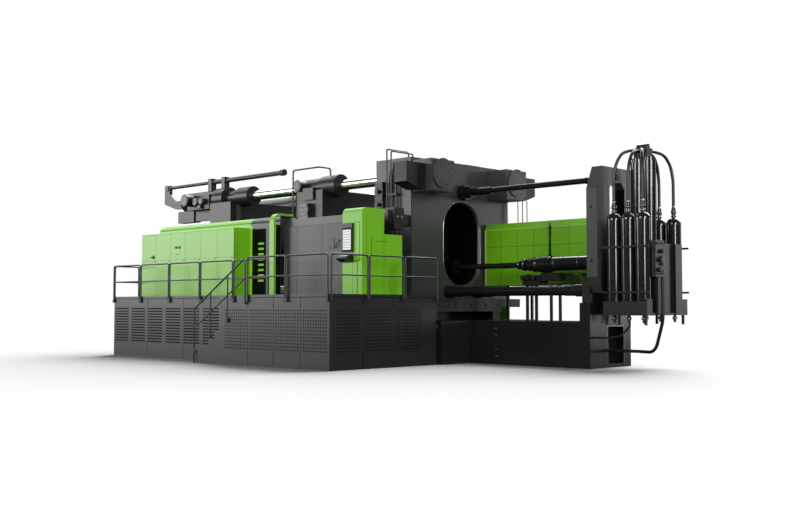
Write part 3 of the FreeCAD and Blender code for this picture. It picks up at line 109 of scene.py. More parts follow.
GREEN = finish_of("green_paint", (0.17, 0.50, 0.010), 0.34, coat=0.25, vary=0.05)
# Dark green: real joints and buttons, and painted shade in the door creases and the tower's
# front recesses.
DARK_GREEN = finish_of("dark_green_joints_and_shade", (0.045, 0.12, 0.004), 0.5)
# Pale green: painted highlight, a lit copy of the green paint.
GREEN_HIGHLIGHT = finish_of("green_painted_highlight", (0.42, 0.62, 0.20), 0.35, vary=0.04)
GREY = finish_of("grey_panel", (0.036, 0.036, 0.038), 0.37, coat=0.15, vary=0.05)
# Dark grey: real door joints and window frame, and painted shade under the door's fold.
DARK_GREY = finish_of("dark_grey_joints_and_shade", (0.012, 0.012, 0.013), 0.5)
FRAME_GREY = finish_of("frame_grey", (0.042, 0.043, 0.045), 0.34, coat=0.2, vary=0.05,
                       specular=0.7)
SKIRT = finish_of("skirt_black", (0.007, 0.007, 0.008), 0.38, vary=0.10, specular=0.95)
BLACK = finish_of("black_paint", (0.007, 0.007, 0.0075), 0.34, vary=0.15)
# Deep black: real black of the sign field, bezel, plugs and joints, and painted shade in the
# skirt's holes and slots, under the deck edge, in the portal gap, the base recess, the frame
# window and the platen opening.
DEEP = finish_of("deep_black", (0.003, 0.003, 0.003), 0.7, specular=0.08)
CAST = finish_of("casting_paint", (0.036, 0.036, 0.039), 0.37, coat=0.15, vary=0.12, bump=0.12,
                 specular=0.7)
CAST_DARK = finish_of("dark_casting", (0.010, 0.010, 0.011), 0.36, coat=0.1, vary=0.12, bump=0.1)
PLINTH = finish_of("base_gloss", (0.007, 0.007, 0.008), 0.24, coat=0.3, vary=0.12, grain=3.0)
GLOSS = finish_of("gloss_black", (0.008, 0.008, 0.009), 0.13, coat=0.4, vary=0.1, grain=5.0)
DECK = finish_of("tread_plate", (0.07, 0.07, 0.072), 0.45, metal=0.6, grain=30.0, bump=0.4)
RAIL = finish_of("rail_paint", (0.022, 0.022, 0.024), 0.35, coat=0.2)
CHROME = finish_of("polished_bar", (0.86, 0.86, 0.88), 0.17, metal=1.0, vary=0.03,
                   stretch=(8.0, 1.0, 1.0))
ROD = finish_of("dark_rod", (0.045, 0.045, 0.048), 0.22, metal=0.8, vary=0.06,
                stretch=(8.0, 1.0, 1.0))
STEEL = finish_of("machined_steel", (0.16, 0.16, 0.165), 0.28, metal=0.9, vary=0.08)
BRIGHT = finish_of("bright_fitting", (0.45, 0.45, 0.46), 0.25, metal=1.0, vary=0.06)
SCREEN = finish_of("screen_glass", (0.62, 0.66, 0.66), 0.12, coat=0.6, vary=0.03)
SCREEN_DARK = finish_of("screen_line", (0.16, 0.20, 0.24), 0.2, vary=0.03)
LIME = finish_of("lime_accent", (0.30, 0.70, 0.02), 0.35, vary=0.04)

FINISHES = {
    "green_paint": GREEN, "grey_panel": GREY, "black_panel": BLACK, "deck_plate": DECK,
    "rail_steel": RAIL, "cast_dark": CAST, "frame_grey": FRAME_GREY, "polished_bar": CHROME,
    "machined_steel": STEEL, "cylinder_paint": GLOSS, "pipe_black": BLACK,
    "panel_plastic": BLACK,
}
OVERRIDES = {
    "platform_skirts": SKIRT, "machine_bed": BLACK, "shot_base": PLINTH,
    "shot_tie_rods": ROD, "shot_plunger": ROD, "puller_rod": ROD, "sign_panel": GREY,
    "accumulator_rack": CAST_DARK, "rack_valve_block": CAST_DARK, "clamp_cylinders": CAST_DARK,
    "puller_barrel": CAST_DARK, "puller_arm": CAST_DARK, "rear_platen": CAST_DARK,
    "moving_platen": CAST_DARK, "tie_bar_guides": CAST_DARK, "guide_valves": CAST_DARK,
    "platen_valve_block": CAST_DARK, "shot_sleeve": DEEP,
    "shot_valve_manifold": BLACK, "top_manifold": BLACK,
    "control_tower": GREEN, "closing_rod": ROD, "far_guard": GREEN, "enclosure_legs": BLACK,
}


def dress_nodes():
    slots = {row["node"]: row["material_slot"] for row in frame["record"]["subparts"]}
    for name, obj in nodes.items():
        finish = OVERRIDES.get(name, FINISHES[slots[name]])
        obj.data.materials.clear()
        obj.data.materials.append(finish)
        for face in obj.data.polygons:
            face.material_index = 0


# ------------------------------------------------------------------ builders
def piece(name, verts, faces, finish, body=BODY, smooth=False):
    mesh = bpy.data.meshes.new(name)
    mesh.from_pydata(verts, [], faces)
    mesh.materials.append(finish)
    if smooth:
        for face in mesh.polygons:
            face.use_smooth = len(face.vertices) == 4
    obj = bpy.data.objects.new(name, mesh)
    bpy.context.scene.collection.objects.link(obj)
    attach(obj, body)
    return obj


def boxes(name, blocks, finish, body=BODY):
    """One piece made of boxes, each (x0, x1, y0, y1, z0, z1)."""
    verts = []
    faces = []
    for x0, x1, y0, y1, z0, z1 in blocks:
        n = len(verts)
        verts += [(x, y, z) for x in (x0, x1) for y in (y0, y1) for z in (z0, z1)]
        faces += [[n + i for i in quad] for quad in
                  ((0, 1, 3, 2), (4, 6, 7, 5), (0, 4, 5, 1), (2, 3, 7, 6), (0, 2, 6, 4),
                   (1, 5, 7, 3))]
    return piece(name, verts, faces, finish, body)


def on_front(y, plates, proud=PROUD):
    """Boxes of trim on a face that looks to -Y, from (x0, x1, z0, z1)."""
    return [(x0, x1, y - proud, y + SINK, z0, z1) for x0, x1, z0, z1 in plates]


def on_end(x, plates, proud=PROUD):
    """Boxes of trim on a face that looks to +X, from (y0, y1, z0, z1)."""
    return [(x - SINK, x + proud, y0, y1, z0, z1) for y0, y1, z0, z1 in plates]


def drums(name, rounds, finish, body=BODY, sides=20):
    """One piece made of closed cylinders, each (start, end, radius)."""
    verts = []
    faces = []
    for start, end, radius in rounds:
        a = Vector(start)
        b = Vector(end)
        axis = (b - a).normalized()
        side = axis.orthogonal().normalized()
        other = axis.cross(side)
        n = len(verts)
        for base in (a, b):
            for k in range(sides):
                t = 2.0 * math.pi * k / sides
                verts.append(base + (side * math.cos(t) + other * math.sin(t)) * radius)
        for k in range(sides):
            m = (k + 1) % sides
            faces.append([n + k, n + m, n + sides + m, n + sides + k])
        faces.append([n + k for k in reversed(range(sides))])
        faces.append([n + sides + k for k in range(sides)])
    return piece(name, verts, faces, finish, body, smooth=True)


def hexes(name, rounds, finish, body=BODY):
    return drums(name, rounds, finish, body, sides=6)


def lines(name, points_list, radius, finish, body=BODY):
    """Round pipes through given points, with soft corners."""
    curve = bpy.data.curves.new(name, "CURVE")
    curve.dimensions = "3D"
    curve.bevel_depth = radius
    curve.bevel_resolution = 3
    curve.use_fill_caps = True
    curve.resolution_u = 6
    for points in points_list:
        spline = curve.splines.new("NURBS")
        spline.points.add(len(points) - 1)
        for slot, p in zip(spline.points, points):
            slot.co = (*p, 1.0)
        spline.order_u = 3
        spline.use_endpoint_u = True
    curve.materials.append(finish)
    obj = bpy.data.objects.new(name, curve)
    bpy.context.scene.collection.objects.link(obj)
    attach(obj, body)
    return obj


def loop_tube(name, ring, radius, finish, body=BODY, sides=8):
    """Round bead along a closed outline that lies in a plane of constant X."""
    count = len(ring)
    verts = []
    faces = []
    for i in range(count):
        at = Vector(ring[i])
        along = (Vector(ring[(i + 1) % count]) - Vector(ring[i - 1])).normalized()
        out = along.cross(Vector((1.0, 0.0, 0.0)))
        for k in range(sides):
            t = 2.0 * math.pi * k / sides
            verts.append(at + (out * math.cos(t) + Vector((math.sin(t), 0.0, 0.0))) * radius)
    for i in range(count):
        j = (i + 1) % count
        for k in range(sides):
            m = (k + 1) % sides
            faces.append([i * sides + k, i * sides + m, j * sides + m, j * sides + k])
    return piece(name, verts, faces, finish, body, smooth=True)


def ring_bolts(centre, axis, count, circle, radius, height, turn=0.0):
    """Bolt heads on a circle round an axis, as (start, end, radius)."""
    c = Vector(centre)
    n = Vector(axis).normalized()
    side = n.orthogonal().normalized()
    other = n.cross(side)
    heads = []
    for k in range(count):
        t = 2.0 * math.pi * k / count + turn
        p = c + (side * math.cos(t) + other * math.sin(t)) * circle
        heads.append((p, p + n * height, radius))
    return heads


# ------------------------------------------------------------------ platform
HOLE_R = 0.022
HOLE_SIDES = 8
HOLE_COLUMNS = 10
HOLE_ROWS = 13
HOLE_Z = (0.47, 1.50)        # lowest and highest row of holes
SIDE_HOLES = ((-3.28, -2.40), (-2.18, -1.30), (-1.09, -0.21), (0.01, 0.87))
END_HOLES = ((-5.95, -5.20), (-4.94, -4.07), (-3.81, -2.93))
SIDE_STEP = 0.80             # the long skirt stands back from the front one
LOUVRE_START = -10.43
LOUVRE_W = 0.80
LOUVRE_PITCH = 0.985
LOUVRES = 6
LOUVRE_ROWS = 13
LOUVRE_LIFT = 0.03           # louvres above the rows of holes
LOUVRE_HALF = 0.018
JOINT_Z = (0.04, 1.84)       # reach of the upright panel joints
SIDE_JOINTS = (-8.50, -6.53)
FRONT_JOINTS = (-2.29, -1.20, -0.10)
END_JOINTS = (-5.07, -3.94)
DECK_LINE_Z = (1.835, 1.85)  # painted shade: a dark line under the edge of the deck
DECK_LINE = 0.004
STAIR_FOOT_X = -4.70
STAIR_HEAD_X = -2.31
RISERS = 9
DECK_T = 0.06
NOSING_W = 0.035
NOSING_T = 0.004
NOSING_IN = 0.01             # nosing inside the ends of the tread


def spread(span, count, k):
    """Place k of a count of places that lie evenly over the span."""
    return span[0] + (span[1] - span[0]) * k / (count - 1)


def platform():
    skirt_lo, skirt_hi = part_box("platform_skirts")
    front = skirt_lo.y
    side = front + SIDE_STEP
    end = skirt_hi.x
    dots = []
    for span in SIDE_HOLES:
        for i in range(HOLE_COLUMNS):
            x = spread(span, HOLE_COLUMNS, i)
            for j in range(HOLE_ROWS):
                z = spread(HOLE_Z, HOLE_ROWS, j)
                dots.append(((x, front - PROUD, z), (x, front + PROUD, z), HOLE_R))
    for span in END_HOLES:
        for i in range(HOLE_COLUMNS):
            y = spread(span, HOLE_COLUMNS, i)
            for j in range(HOLE_ROWS):
                z = spread(HOLE_Z, HOLE_ROWS, j)
                dots.append(((end - PROUD, y, z), (end + PROUD, y, z), HOLE_R))
    # Painted shade: dark discs stand in for the shade inside the real holes of the skirt.
    drums("skirt_perforation_shade", dots, DEEP, sides=HOLE_SIDES)
    slots = []
    for i in range(LOUVRES):
        x = LOUVRE_START + LOUVRE_PITCH * i
        for j in range(LOUVRE_ROWS):
            z = spread(HOLE_Z, LOUVRE_ROWS, j) + LOUVRE_LIFT
            slots.append((x, x + LOUVRE_W, side - PROUD, side + PROUD,
                          z - LOUVRE_HALF, z + LOUVRE_HALF))
    # Painted shade: dark slits stand in for the shade inside the louvres.
    boxes("skirt_louvre_shade", slots, DEEP)
    joints = [(x - SEAM, x + SEAM, side - PROUD, side + PROUD, *JOINT_Z) for x in SIDE_JOINTS]
    joints += [(x - SEAM, x + SEAM, front - PROUD, front + PROUD, *JOINT_Z)
               for x in FRONT_JOINTS]
    joints += [(end - PROUD, end + PROUD, y - SEAM, y + SEAM, *JOINT_Z) for y in END_JOINTS]
    # The last three boxes are painted shade: a dark line under the edge of the deck.
    joints += [(STAIR_HEAD_X, end - THIN, front - DECK_LINE, front + DECK_LINE, *DECK_LINE_Z),
               (end - DECK_LINE, end + DECK_LINE, front, skirt_hi.y, *DECK_LINE_Z),
               (skirt_lo.x, STAIR_FOOT_X, side - DECK_LINE, side + DECK_LINE, *DECK_LINE_Z)]
    boxes("skirt_joints_and_deck_shade", joints, DEEP)
    stair_lo, stair_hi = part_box("stair_flight")
    rise = (stair_hi.z + DECK_T) / RISERS
    going = (stair_hi.x - stair_lo.x) / (RISERS - 1)
    noses = []
    for k in range(RISERS - 1):
        x = stair_lo.x + k * going
        z = (k + 1) * rise
        noses.append((x, x + NOSING_W, stair_lo.y + NOSING_IN, stair_hi.y - NOSING_IN,
                      z, z + NOSING_T))
    boxes("stair_nosings", noses, STEEL)


# ------------------------------------------------------------------ operator-side guards
DOORS = 6
HANDLE_DOOR = "cabinet_door_1"
SWITCH_DOOR = "cabinet_door_3"
LOCK_IN = 0.07               # lock from the free edge of its door
LOCK_R = 0.022
LOCK_Z = 3.08
LOCK_OUT = 0.006
CREASE_Z = 3.10
GRIP_X = (0.25, 0.10)        # from the free edge of the door
GRIP_Y = (0.06, 0.02)
GRIP_Z = (3.20, 3.25)
GRIP_FOOT_X = (0.14, 0.10)
GRIP_FOOT_Y = 0.03
GRIP_FOOT_Z = (3.18, 3.29)
LAMP_Z = 3.50
LAMP_R = 0.042
LAMP_OUT = 0.03
LAMP_PITCH = 0.09            # half the distance between the two lamps
BUTTON_Z = 3.28
BUTTON_R = 0.014
BUTTON_PITCH = 0.08
END_JOINT = (0.12, 0.13)     # joint on the cabinet's end, from the front edge
END_JOINT_Z = (1.95, 3.94)
SIGN_GREEN_W = 0.10
SIGN_BLACK_W = 0.66
SIGN_Z0 = 1.86
SIGN_GREEN_TOP = 4.05
SIGN_BLACK_TOP = 3.95
BAR_IN = 0.30                # accent bars from the edge of the black field
BAR_W = 0.26
BAR_H = 0.06
BAR_Z0 = 2.35
BAR_PITCH = 0.16
BARS = 8
HOOD_JOINTS = (-8.4, -6.7)
HOOD_JOINT_Z = (4.0, 4.05)
SHADOW_Z = (1.87, 4.02)
SHADOW_T = 0.004
SHADOW_IN = 0.08             # shadow strip from the front edge of the portal
LEAF_GAP = 0.02              # shadow strip clear of the door's path
BAND_Z = (2.9, 3.5)
DOOR_LEAN = 0.20
DOOR_T = 0.06
DOOR_JOINTS = (-3.03, -1.93)
DOOR_FOOT = 0.05             # joints above the lower edge
FOLD_Z = 3.95
FOLD_LINE = (0.012, 0.004)   # painted shade line under the fold
DOOR_LINE_Z = (2.08, 2.086)
WINDOW_X = (-1.65, -1.39)
WINDOW_Z = (3.24, 3.52)
WINDOW_RIM = 0.02
WINDOW_FRAME_T = 0.006
PANE = (0.009, 0.005)        # face and back of the pane before the door
ROSES = ((-1.33, 3.27), (-1.20, 3.46))
ROSE_R = 0.024
ROSE_OUT = 0.008


def cabinet():
    for k in range(1, DOORS + 1):
        body = "cabinet_door_%d" % k
        lo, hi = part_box(body)
        x = hi.x - LOCK_IN
        drums("cabinet_lock_%d" % k,
              [((x, lo.y - LOCK_OUT, LOCK_Z), (x, lo.y + THIN, LOCK_Z), LOCK_R)], BLACK, body)
        # Painted shade: a dark line along the crease across each door.
        boxes("cabinet_crease_shade_%d" % k,
              [(lo.x, hi.x, lo.y - THIN, lo.y + THIN, CREASE_Z, CREASE_Z + SEAM)],
              DARK_GREEN, body)
    lo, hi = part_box(HANDLE_DOOR)
    boxes("cabinet_handle",
          [(hi.x - GRIP_X[0], hi.x - GRIP_X[1], lo.y - GRIP_Y[0], lo.y - GRIP_Y[1], *GRIP_Z),
           (hi.x - GRIP_FOOT_X[0], hi.x - GRIP_FOOT_X[1], lo.y - GRIP_FOOT_Y, lo.y + SINK,
            *GRIP_FOOT_Z)],
          BLACK, HANDLE_DOOR)
    lo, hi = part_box(SWITCH_DOOR)
    mid = (lo.x + hi.x) / 2
    drums("cabinet_lamps",
          [((mid + s * LAMP_PITCH, lo.y - LAMP_OUT, LAMP_Z),
            (mid + s * LAMP_PITCH, lo.y + SINK, LAMP_Z), LAMP_R) for s in (-1, 1)],
          BLACK, SWITCH_DOOR)
    drums("cabinet_buttons",
          [((mid + s * BUTTON_PITCH, lo.y - LID_OUT, BUTTON_Z),
            (mid + s * BUTTON_PITCH, lo.y + SINK, BUTTON_Z), BUTTON_R) for s in (-1, 0, 1)],
          DARK_GREEN, SWITCH_DOOR)
    lo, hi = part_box("electrical_cabinet")
    boxes("cabinet_end_joint",
          on_end(hi.x, [(lo.y + END_JOINT[0], lo.y + END_JOINT[1], *END_JOINT_Z)]), DARK_GREEN)


def sign_and_guard():
    lo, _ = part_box("sign_panel")
    y = lo.y
    edge = lo.x + SIGN_GREEN_W
    boxes("sign_edge_green", on_front(y, [(lo.x + SINK, edge, SIGN_Z0, SIGN_GREEN_TOP)]), LIME)
    boxes("sign_field_black",
          on_front(y, [(edge, edge + SIGN_BLACK_W, SIGN_Z0, SIGN_BLACK_TOP)]), DEEP)
    x = edge + BAR_IN
    boxes("sign_accent_bars",
          [(x, x + BAR_W, y - 2.5 * PROUD, y - PROUD / 2, BAR_Z0 + BAR_PITCH * k,
            BAR_Z0 + BAR_H + BAR_PITCH * k) for k in range(BARS)], LIME)
    hood_lo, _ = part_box("rear_guard")
    boxes("hood_joints",
          on_front(hood_lo.y, [(x - SEAM, x + SEAM, *HOOD_JOINT_Z) for x in HOOD_JOINTS], THIN),
          DARK_GREEN)
    gap_lo, gap_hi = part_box("guard_portal")
    leaf_lo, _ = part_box("safety_door")
    boxes("portal_shadow_strip",
          [(gap_hi.x, gap_hi.x + SHADOW_T, gap_lo.y + SHADOW_IN, leaf_lo.y - LEAF_GAP,
            *SHADOW_Z)], DEEP)
    boxes("portal_bands",
          on_front(gap_lo.y, [(gap_lo.x + THIN, gap_hi.x - THIN, z, z + SEAM) for z in BAND_Z],
                   THIN), DARK_GREEN)


def door():
    body = "safety_door"
    lo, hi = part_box(body)
    y = hi.y - DOOR_LEAN - DOOR_T
    joints = [(x - SEAM, x + SEAM, lo.z + DOOR_FOOT, FOLD_Z) for x in DOOR_JOINTS]
    # Painted shade: a dark line under the fold of the door.
    joints.append((lo.x, hi.x, FOLD_Z - FOLD_LINE[0], FOLD_Z - FOLD_LINE[1]))
    joints.append((lo.x, hi.x, *DOOR_LINE_Z))
    boxes("door_joints_and_fold_shade", on_front(y, joints, THIN), DARK_GREY, body)
    x0, x1 = WINDOW_X
    z0, z1 = WINDOW_Z
    boxes("door_window_frame", on_front(y, [(x0, x1, z0, z1)], WINDOW_FRAME_T), DARK_GREY,
          body)
    boxes("door_window",
          [(x0 + WINDOW_RIM, x1 - WINDOW_RIM, y - PANE[0], y - PANE[1], z0 + WINDOW_RIM,
            z1 - WINDOW_RIM)], GREY, body)
    drums("door_handle_roses",
          [((x, y - ROSE_OUT, z), (x, y + SINK, z), ROSE_R) for x, z in ROSES], BLACK, body)


# ------------------------------------------------------------------ control tower
SCREEN_OUT = 0.06            # face of the operator panel before the tower's front
PANEL_IN = (0.04, 0.32)      # panel from the tower's two edges
BEZEL = (0.02, 3.08, 3.70, 0.006)               # inset, foot, top, thickness
HEAD_STRIP = (0.015, 3.73, 3.82, 0.008)
GLASS = (0.045, 3.12, 3.66)                     # inset, foot, top
GLASS_Y = (0.012, 0.004)
FIELD_ROWS = 7
FIELD_COLUMNS = 3
FIELD_SIZE = (0.065, 0.022)
FIELD_PITCH = (0.09, 0.07)
FIELD_X0 = 0.07
FIELD_Y = (0.0135, 0.011)
FIELD_Z0 = 3.17
KEY_COLUMNS = 5
KEY_ROWS = 2
KEY_PITCH = 0.07
KEY_SIZE = 0.045
KEY_Z = (2.945, 2.962)
KEY_RISE = 0.03              # from one row of keys to the next
KEY_X0 = 0.05
KEY_OUT = 0.20               # front row of keys before the tower
LAYER = 2.2                  # face of a second layer of trim, in thicknesses of the first
FRONT_RECESS_SHADES = ((0.04, 0.08, 2.82, 3.86), (0.40, 0.17, 1.87, 2.80))
FRONT_PANELS = ((0.055, 0.095, 2.835, 3.845), (0.42, 0.19, 1.89, 2.78))
SIDE_LINES = ((-4.18, -4.16, 2.95, 3.47), (-4.02, -3.55, 3.35, 3.365),
              (-3.70, -3.692, 1.87, 3.56))
CORNER_LINE = (0.16, 0.165, 1.87, 4.10)         # the first two from the front edge


def tower():
    lo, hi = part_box("control_tower")
    y = lo.y
    x0 = lo.x + PANEL_IN[0]
    x1 = hi.x - PANEL_IN[1]
    glass = y - SCREEN_OUT
    for name, shape, finish in (("operator_bezel", BEZEL, DEEP),
                                ("operator_head_strip", HEAD_STRIP, GREY)):
        inset, foot, top, thick = shape
        boxes(name, on_front(glass, [(x0 + inset, x1 - inset, foot, top)], thick), finish)
    inset, foot, top = GLASS
    boxes("operator_screen",
          [(x0 + inset, x1 - inset, glass - GLASS_Y[0], glass - GLASS_Y[1], foot, top)], SCREEN)
    rows = []
    for k in range(FIELD_ROWS):
        z = FIELD_Z0 + FIELD_PITCH[1] * k
        for j in range(FIELD_COLUMNS):
            x = x0 + FIELD_X0 + FIELD_PITCH[0] * j
            rows.append((x, x + FIELD_SIZE[0], glass - FIELD_Y[0], glass - FIELD_Y[1], z,
                         z + FIELD_SIZE[1]))
    boxes("operator_screen_fields", rows, SCREEN_DARK)
    keys = []
    for k in range(KEY_COLUMNS):
        for j in range(KEY_ROWS):
            x = x0 + KEY_X0 + KEY_PITCH * k
            back = y - KEY_OUT + KEY_PITCH * j
            keys.append((x, x + KEY_SIZE, back, back + KEY_SIZE, KEY_Z[0] + KEY_RISE * j,
                         KEY_Z[1] + KEY_RISE * j))
    boxes("operator_keys", keys, BRIGHT)
    starts = (x1, lo.x)
    # Painted shade: dark green sheets behind the front panels, a dark border where the recesses
    # fall in shade.
    boxes("tower_front_recess_shade",
          on_front(y, [(start + left, hi.x - right, foot, top)
                       for start, (left, right, foot, top) in zip(starts, FRONT_RECESS_SHADES)]),
          DARK_GREEN)
    boxes("tower_front_panel",
          [(start + left, hi.x - right, y - LAYER * PROUD, y - PROUD / 2, foot, top)
           for start, (left, right, foot, top) in zip(starts, FRONT_PANELS)], GREEN)
    near, far, foot, top = CORNER_LINE
    boxes("tower_side_joints",
          on_end(hi.x, [*SIDE_LINES, (lo.y + near, lo.y + far, foot, top)]), DARK_GREEN)


# ------------------------------------------------------------------ fixed platen
COVER_MID = 0.43             # centre of an end cover from its outer edge
COVER_BOLTS = (12, 0.355, 0.018, 0.012, 0.13)   # count, circle, radius, height, turn
HUB_BOLTS = (6, 0.20, 0.014, 0.010, 0.4)
HUB_R = 0.30
HUB_T = 0.004
HUB_SIDES = 40
PLATEN_LINES = ((-1.21, 1.21, 5.16, 5.17), (-2.20, 2.20, 4.86, 4.868),
                (-2.20, -2.19, 1.90, 4.86))
BOSS_X = (-0.35, -1.05)
BOSS_Y = (-1.9, -0.6, 0.6, 1.9)
BOSS_R = 0.05
BOSS_H = 0.05
TOP_PLATE_X = (-0.9, -0.25)
TOP_PLATES_Y = ((-1.15, -0.45), (0.45, 1.15))
TOP_PLATE_T = 0.06
HEAD_X = 0.75                # end face of the heads
HEAD_BOLT_Y = (1.27, 2.12)
HEAD_BOLT_Z = (4.94, 5.70)
HEAD_BOLT = (0.015, 0.022)   # height and radius
SHOE_BOLT_Y = (-1.2, -0.5, 0.2, 0.9, 1.45)
SHOE_BOLT_Z = 1.64
SHOE_BOLT = (0.02, 0.04)


def platen():
    lo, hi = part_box("tie_bar_end_covers")
    z = (lo.z + hi.z) / 2
    x = hi.x
    bolts = []
    rims = []
    for s in (-1, 1):
        y = s * (hi.y - COVER_MID)
        bolts += ring_bolts((x, y, z), (1, 0, 0), *COVER_BOLTS)
        bolts += ring_bolts((x, y, z), (1, 0, 0), *HUB_BOLTS)
        rims.append(((x - SINK, y, z), (x + HUB_T, y, z), HUB_R))
    hexes("cover_bolts", bolts, BLACK)
    drums("cover_centres", rims, CAST, sides=HUB_SIDES)
    boxes("platen_joints", on_end(0.0, PLATEN_LINES), DEEP)
    _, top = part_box("fixed_platen")
    drums("lifting_bosses",
          [((at, y, top.z), (at, y, top.z + BOSS_H), BOSS_R) for y in BOSS_Y for at in BOSS_X],
          BLACK)
    boxes("platen_top_plates",
          [(*TOP_PLATE_X, *span, top.z, top.z + TOP_PLATE_T) for span in TOP_PLATES_Y], CAST)
    hexes("head_corner_bolts",
          [((HEAD_X, s * y, z), (HEAD_X + HEAD_BOLT[0], s * y, z), HEAD_BOLT[1])
           for s in (-1, 1) for y in HEAD_BOLT_Y for z in HEAD_BOLT_Z], BLACK)
    _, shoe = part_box("platen_shoe")
    hexes("shoe_bolts",
          [((shoe.x, y, SHOE_BOLT_Z), (shoe.x + SHOE_BOLT[0], y, SHOE_BOLT_Z), SHOE_BOLT[1])
           for y in SHOE_BOLT_Y], BLACK)


STACK_BLOCKS = 8
STACK_X = (0.12, 0.46)
STACK_Z0 = 3.70
STACK_PITCH = 0.19
STACK_H = 0.18
STACK_D = 0.20
STACK_STEP = 0.02            # every second block is narrower on both sides
COILS = 4
COIL_R = 0.055
COIL_X = 0.29
COIL_REACH = (0.19, 0.30)
COIL_SIDES = 16
UPRIGHTS = 3
UPRIGHT_R = 0.026
UPRIGHT_X = 0.62
UPRIGHT_PITCH = 0.14
UPRIGHT_OUT = 0.09
UPRIGHT_STEP = 0.03          # every second pipe stands further out
UPRIGHT_Z = (3.40, 4.40, 5.55)
UPRIGHT_RISE = 0.08
CLIP_X = (0.57, 0.95)
CLIP_D = 0.15
CLIP_Z = (3.9, 4.8)
CLIP_H = 0.05
VALVE_FRONT = 0.12           # port face of the valve block, from its front edge
VALVE_D = 0.40
VALVE_LID = (0.04, 0.08, 0.52)                  # inset, foot, top
VALVE_LID_T = 0.004
VALVE_PORTS = 2
VALVE_PORT_Y = 0.12
VALVE_PORT_PITCH = 0.16
VALVE_PORT_Z = 0.34
VALVE_PORT_R = 0.03
VALVE_COIL_X = (-0.16, -0.04)
VALVE_COIL_D = 0.115
VALVE_COIL_Z = (0.44, 0.54)


def platen_side():
    """Control stack and upright pipes on the operator-side face of the fixed platen."""
    lo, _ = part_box("fixed_platen")
    y = lo.y
    stack = []
    for k in range(STACK_BLOCKS):
        step = STACK_STEP * (k % 2)
        z = STACK_Z0 + STACK_PITCH * k
        stack.append((lo.x + STACK_X[0] + step, lo.x + STACK_X[1] - step, y - STACK_D,
                      y + SINK, z, z + STACK_H))
    boxes("platen_side_stack", stack, CAST_DARK)
    coils = []
    for k in range(COILS):
        z = STACK_Z0 + STACK_H / 2 + 2 * STACK_PITCH * k
        coils.append(((lo.x + COIL_X, y - COIL_REACH[0], z),
                      (lo.x + COIL_X, y - COIL_REACH[1], z), COIL_R))
    drums("platen_side_solenoids", coils, BLACK, sides=COIL_SIDES)
    pipes = []
    for k in range(UPRIGHTS):
        x = lo.x + UPRIGHT_X + UPRIGHT_PITCH * k
        out = y - UPRIGHT_OUT - UPRIGHT_STEP * (k % 2)
        foot, middle, top = UPRIGHT_Z
        top += UPRIGHT_RISE * k
        pipes.append([(x, y, foot), (x, out, foot), (x, out, middle), (x, out, top),
                      (x, y, top)])
    lines("platen_side_pipes", pipes, UPRIGHT_R, BLACK)
    boxes("platen_side_clips",
          on_front(y, [(lo.x + CLIP_X[0], lo.x + CLIP_X[1], z, z + CLIP_H) for z in CLIP_Z],
                   CLIP_D), CAST_DARK)


def platen_valves():
    lo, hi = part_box("platen_valve_block")
    x = hi.x
    front = lo.y + VALVE_FRONT
    back = front + VALVE_D
    inset, foot, top = VALVE_LID
    boxes("valve_block_lid",
          on_end(x, [(front + inset, back - inset, lo.z + foot, lo.z + top)], VALVE_LID_T),
          BLACK)
    z = lo.z + VALVE_PORT_Z
    ports = [front + VALVE_PORT_Y + VALVE_PORT_PITCH * k for k in range(VALVE_PORTS)]
    drums("valve_block_ports",
          [((x, y, z), (x + VALVE_PORT_R, y, z), VALVE_PORT_R) for y in ports], BRIGHT)
    boxes("valve_block_coils",
          [(*VALVE_COIL_X, front - VALVE_COIL_D, front, lo.z + VALVE_COIL_Z[0],
            lo.z + VALVE_COIL_Z[1])], CAST)


# ------------------------------------------------------------------ clamping end
PUMP_REACH = 0.44            # pump box beyond the end of the clamp cylinder
COLLAR_L = 0.69
CHEST_D = 0.39
PUMP_BOLTS = (12, 0.29, 0.022, 0.02, 0.2)       # count, circle, radius, height, turn
COLLAR_BOLTS = (12, 0.29, 0.018, 0.018)
CLAMP_MOTOR_BOLTS = (8, 0.19, 0.014, 0.016)
CLAMP_LID_R = 0.17
CLAMP_LID_SIDES = 32
GUIDE_MOTOR_BOLTS = (8, 0.15, 0.014, 0.014)
GUIDE_LID_R = 0.12
CHEST_LINE_T = 0.006
CLAMP_MOTOR_X = 0.76         # motor from the pump's end
MOTOR_RISE = 0.01
SIDE_VALVES = ((-10.55, 0.06, 0.20, 0.13), (-10.25, 0.06, 0.16, 0.11),
               (-10.40, 0.24, 0.12, 0.07))      # x, drop below the bar, reach, radius
CHEST_X = (-11.16, -10.02)
CHEST_LINES = ((-0.30, -0.28), (0.13, 0.15))    # from the bar's axis
FRONT_POSTS = ((-9.96, 0.305), (-8.56, 0.28))   # x, top below the bar's axis
POST_W = 0.12
POST_IN = 0.25
GUIDE_MOTOR_X = 0.20
GUIDE_MOTOR_RISE = 0.06
GUIDE_STACK_X = (-4.82, -4.42)
GUIDE_STACK_Z0 = 4.335
GUIDE_STACK_H = 0.09
GUIDE_STACK_PITCH = 0.13
GUIDE_STACK_OUT = 0.17
GUIDE_STACK_Y = (0.006, 0.005)
GUIDE_STACK_STEP = 0.03
GUIDE_STACKS = 4


def bar_axis():
    """Height of the upper tie bars and their distance from the machine's centre plane."""
    lo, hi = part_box("upper_near_tie_bar")
    return (lo.z + hi.z) / 2, -(lo.y + hi.y) / 2


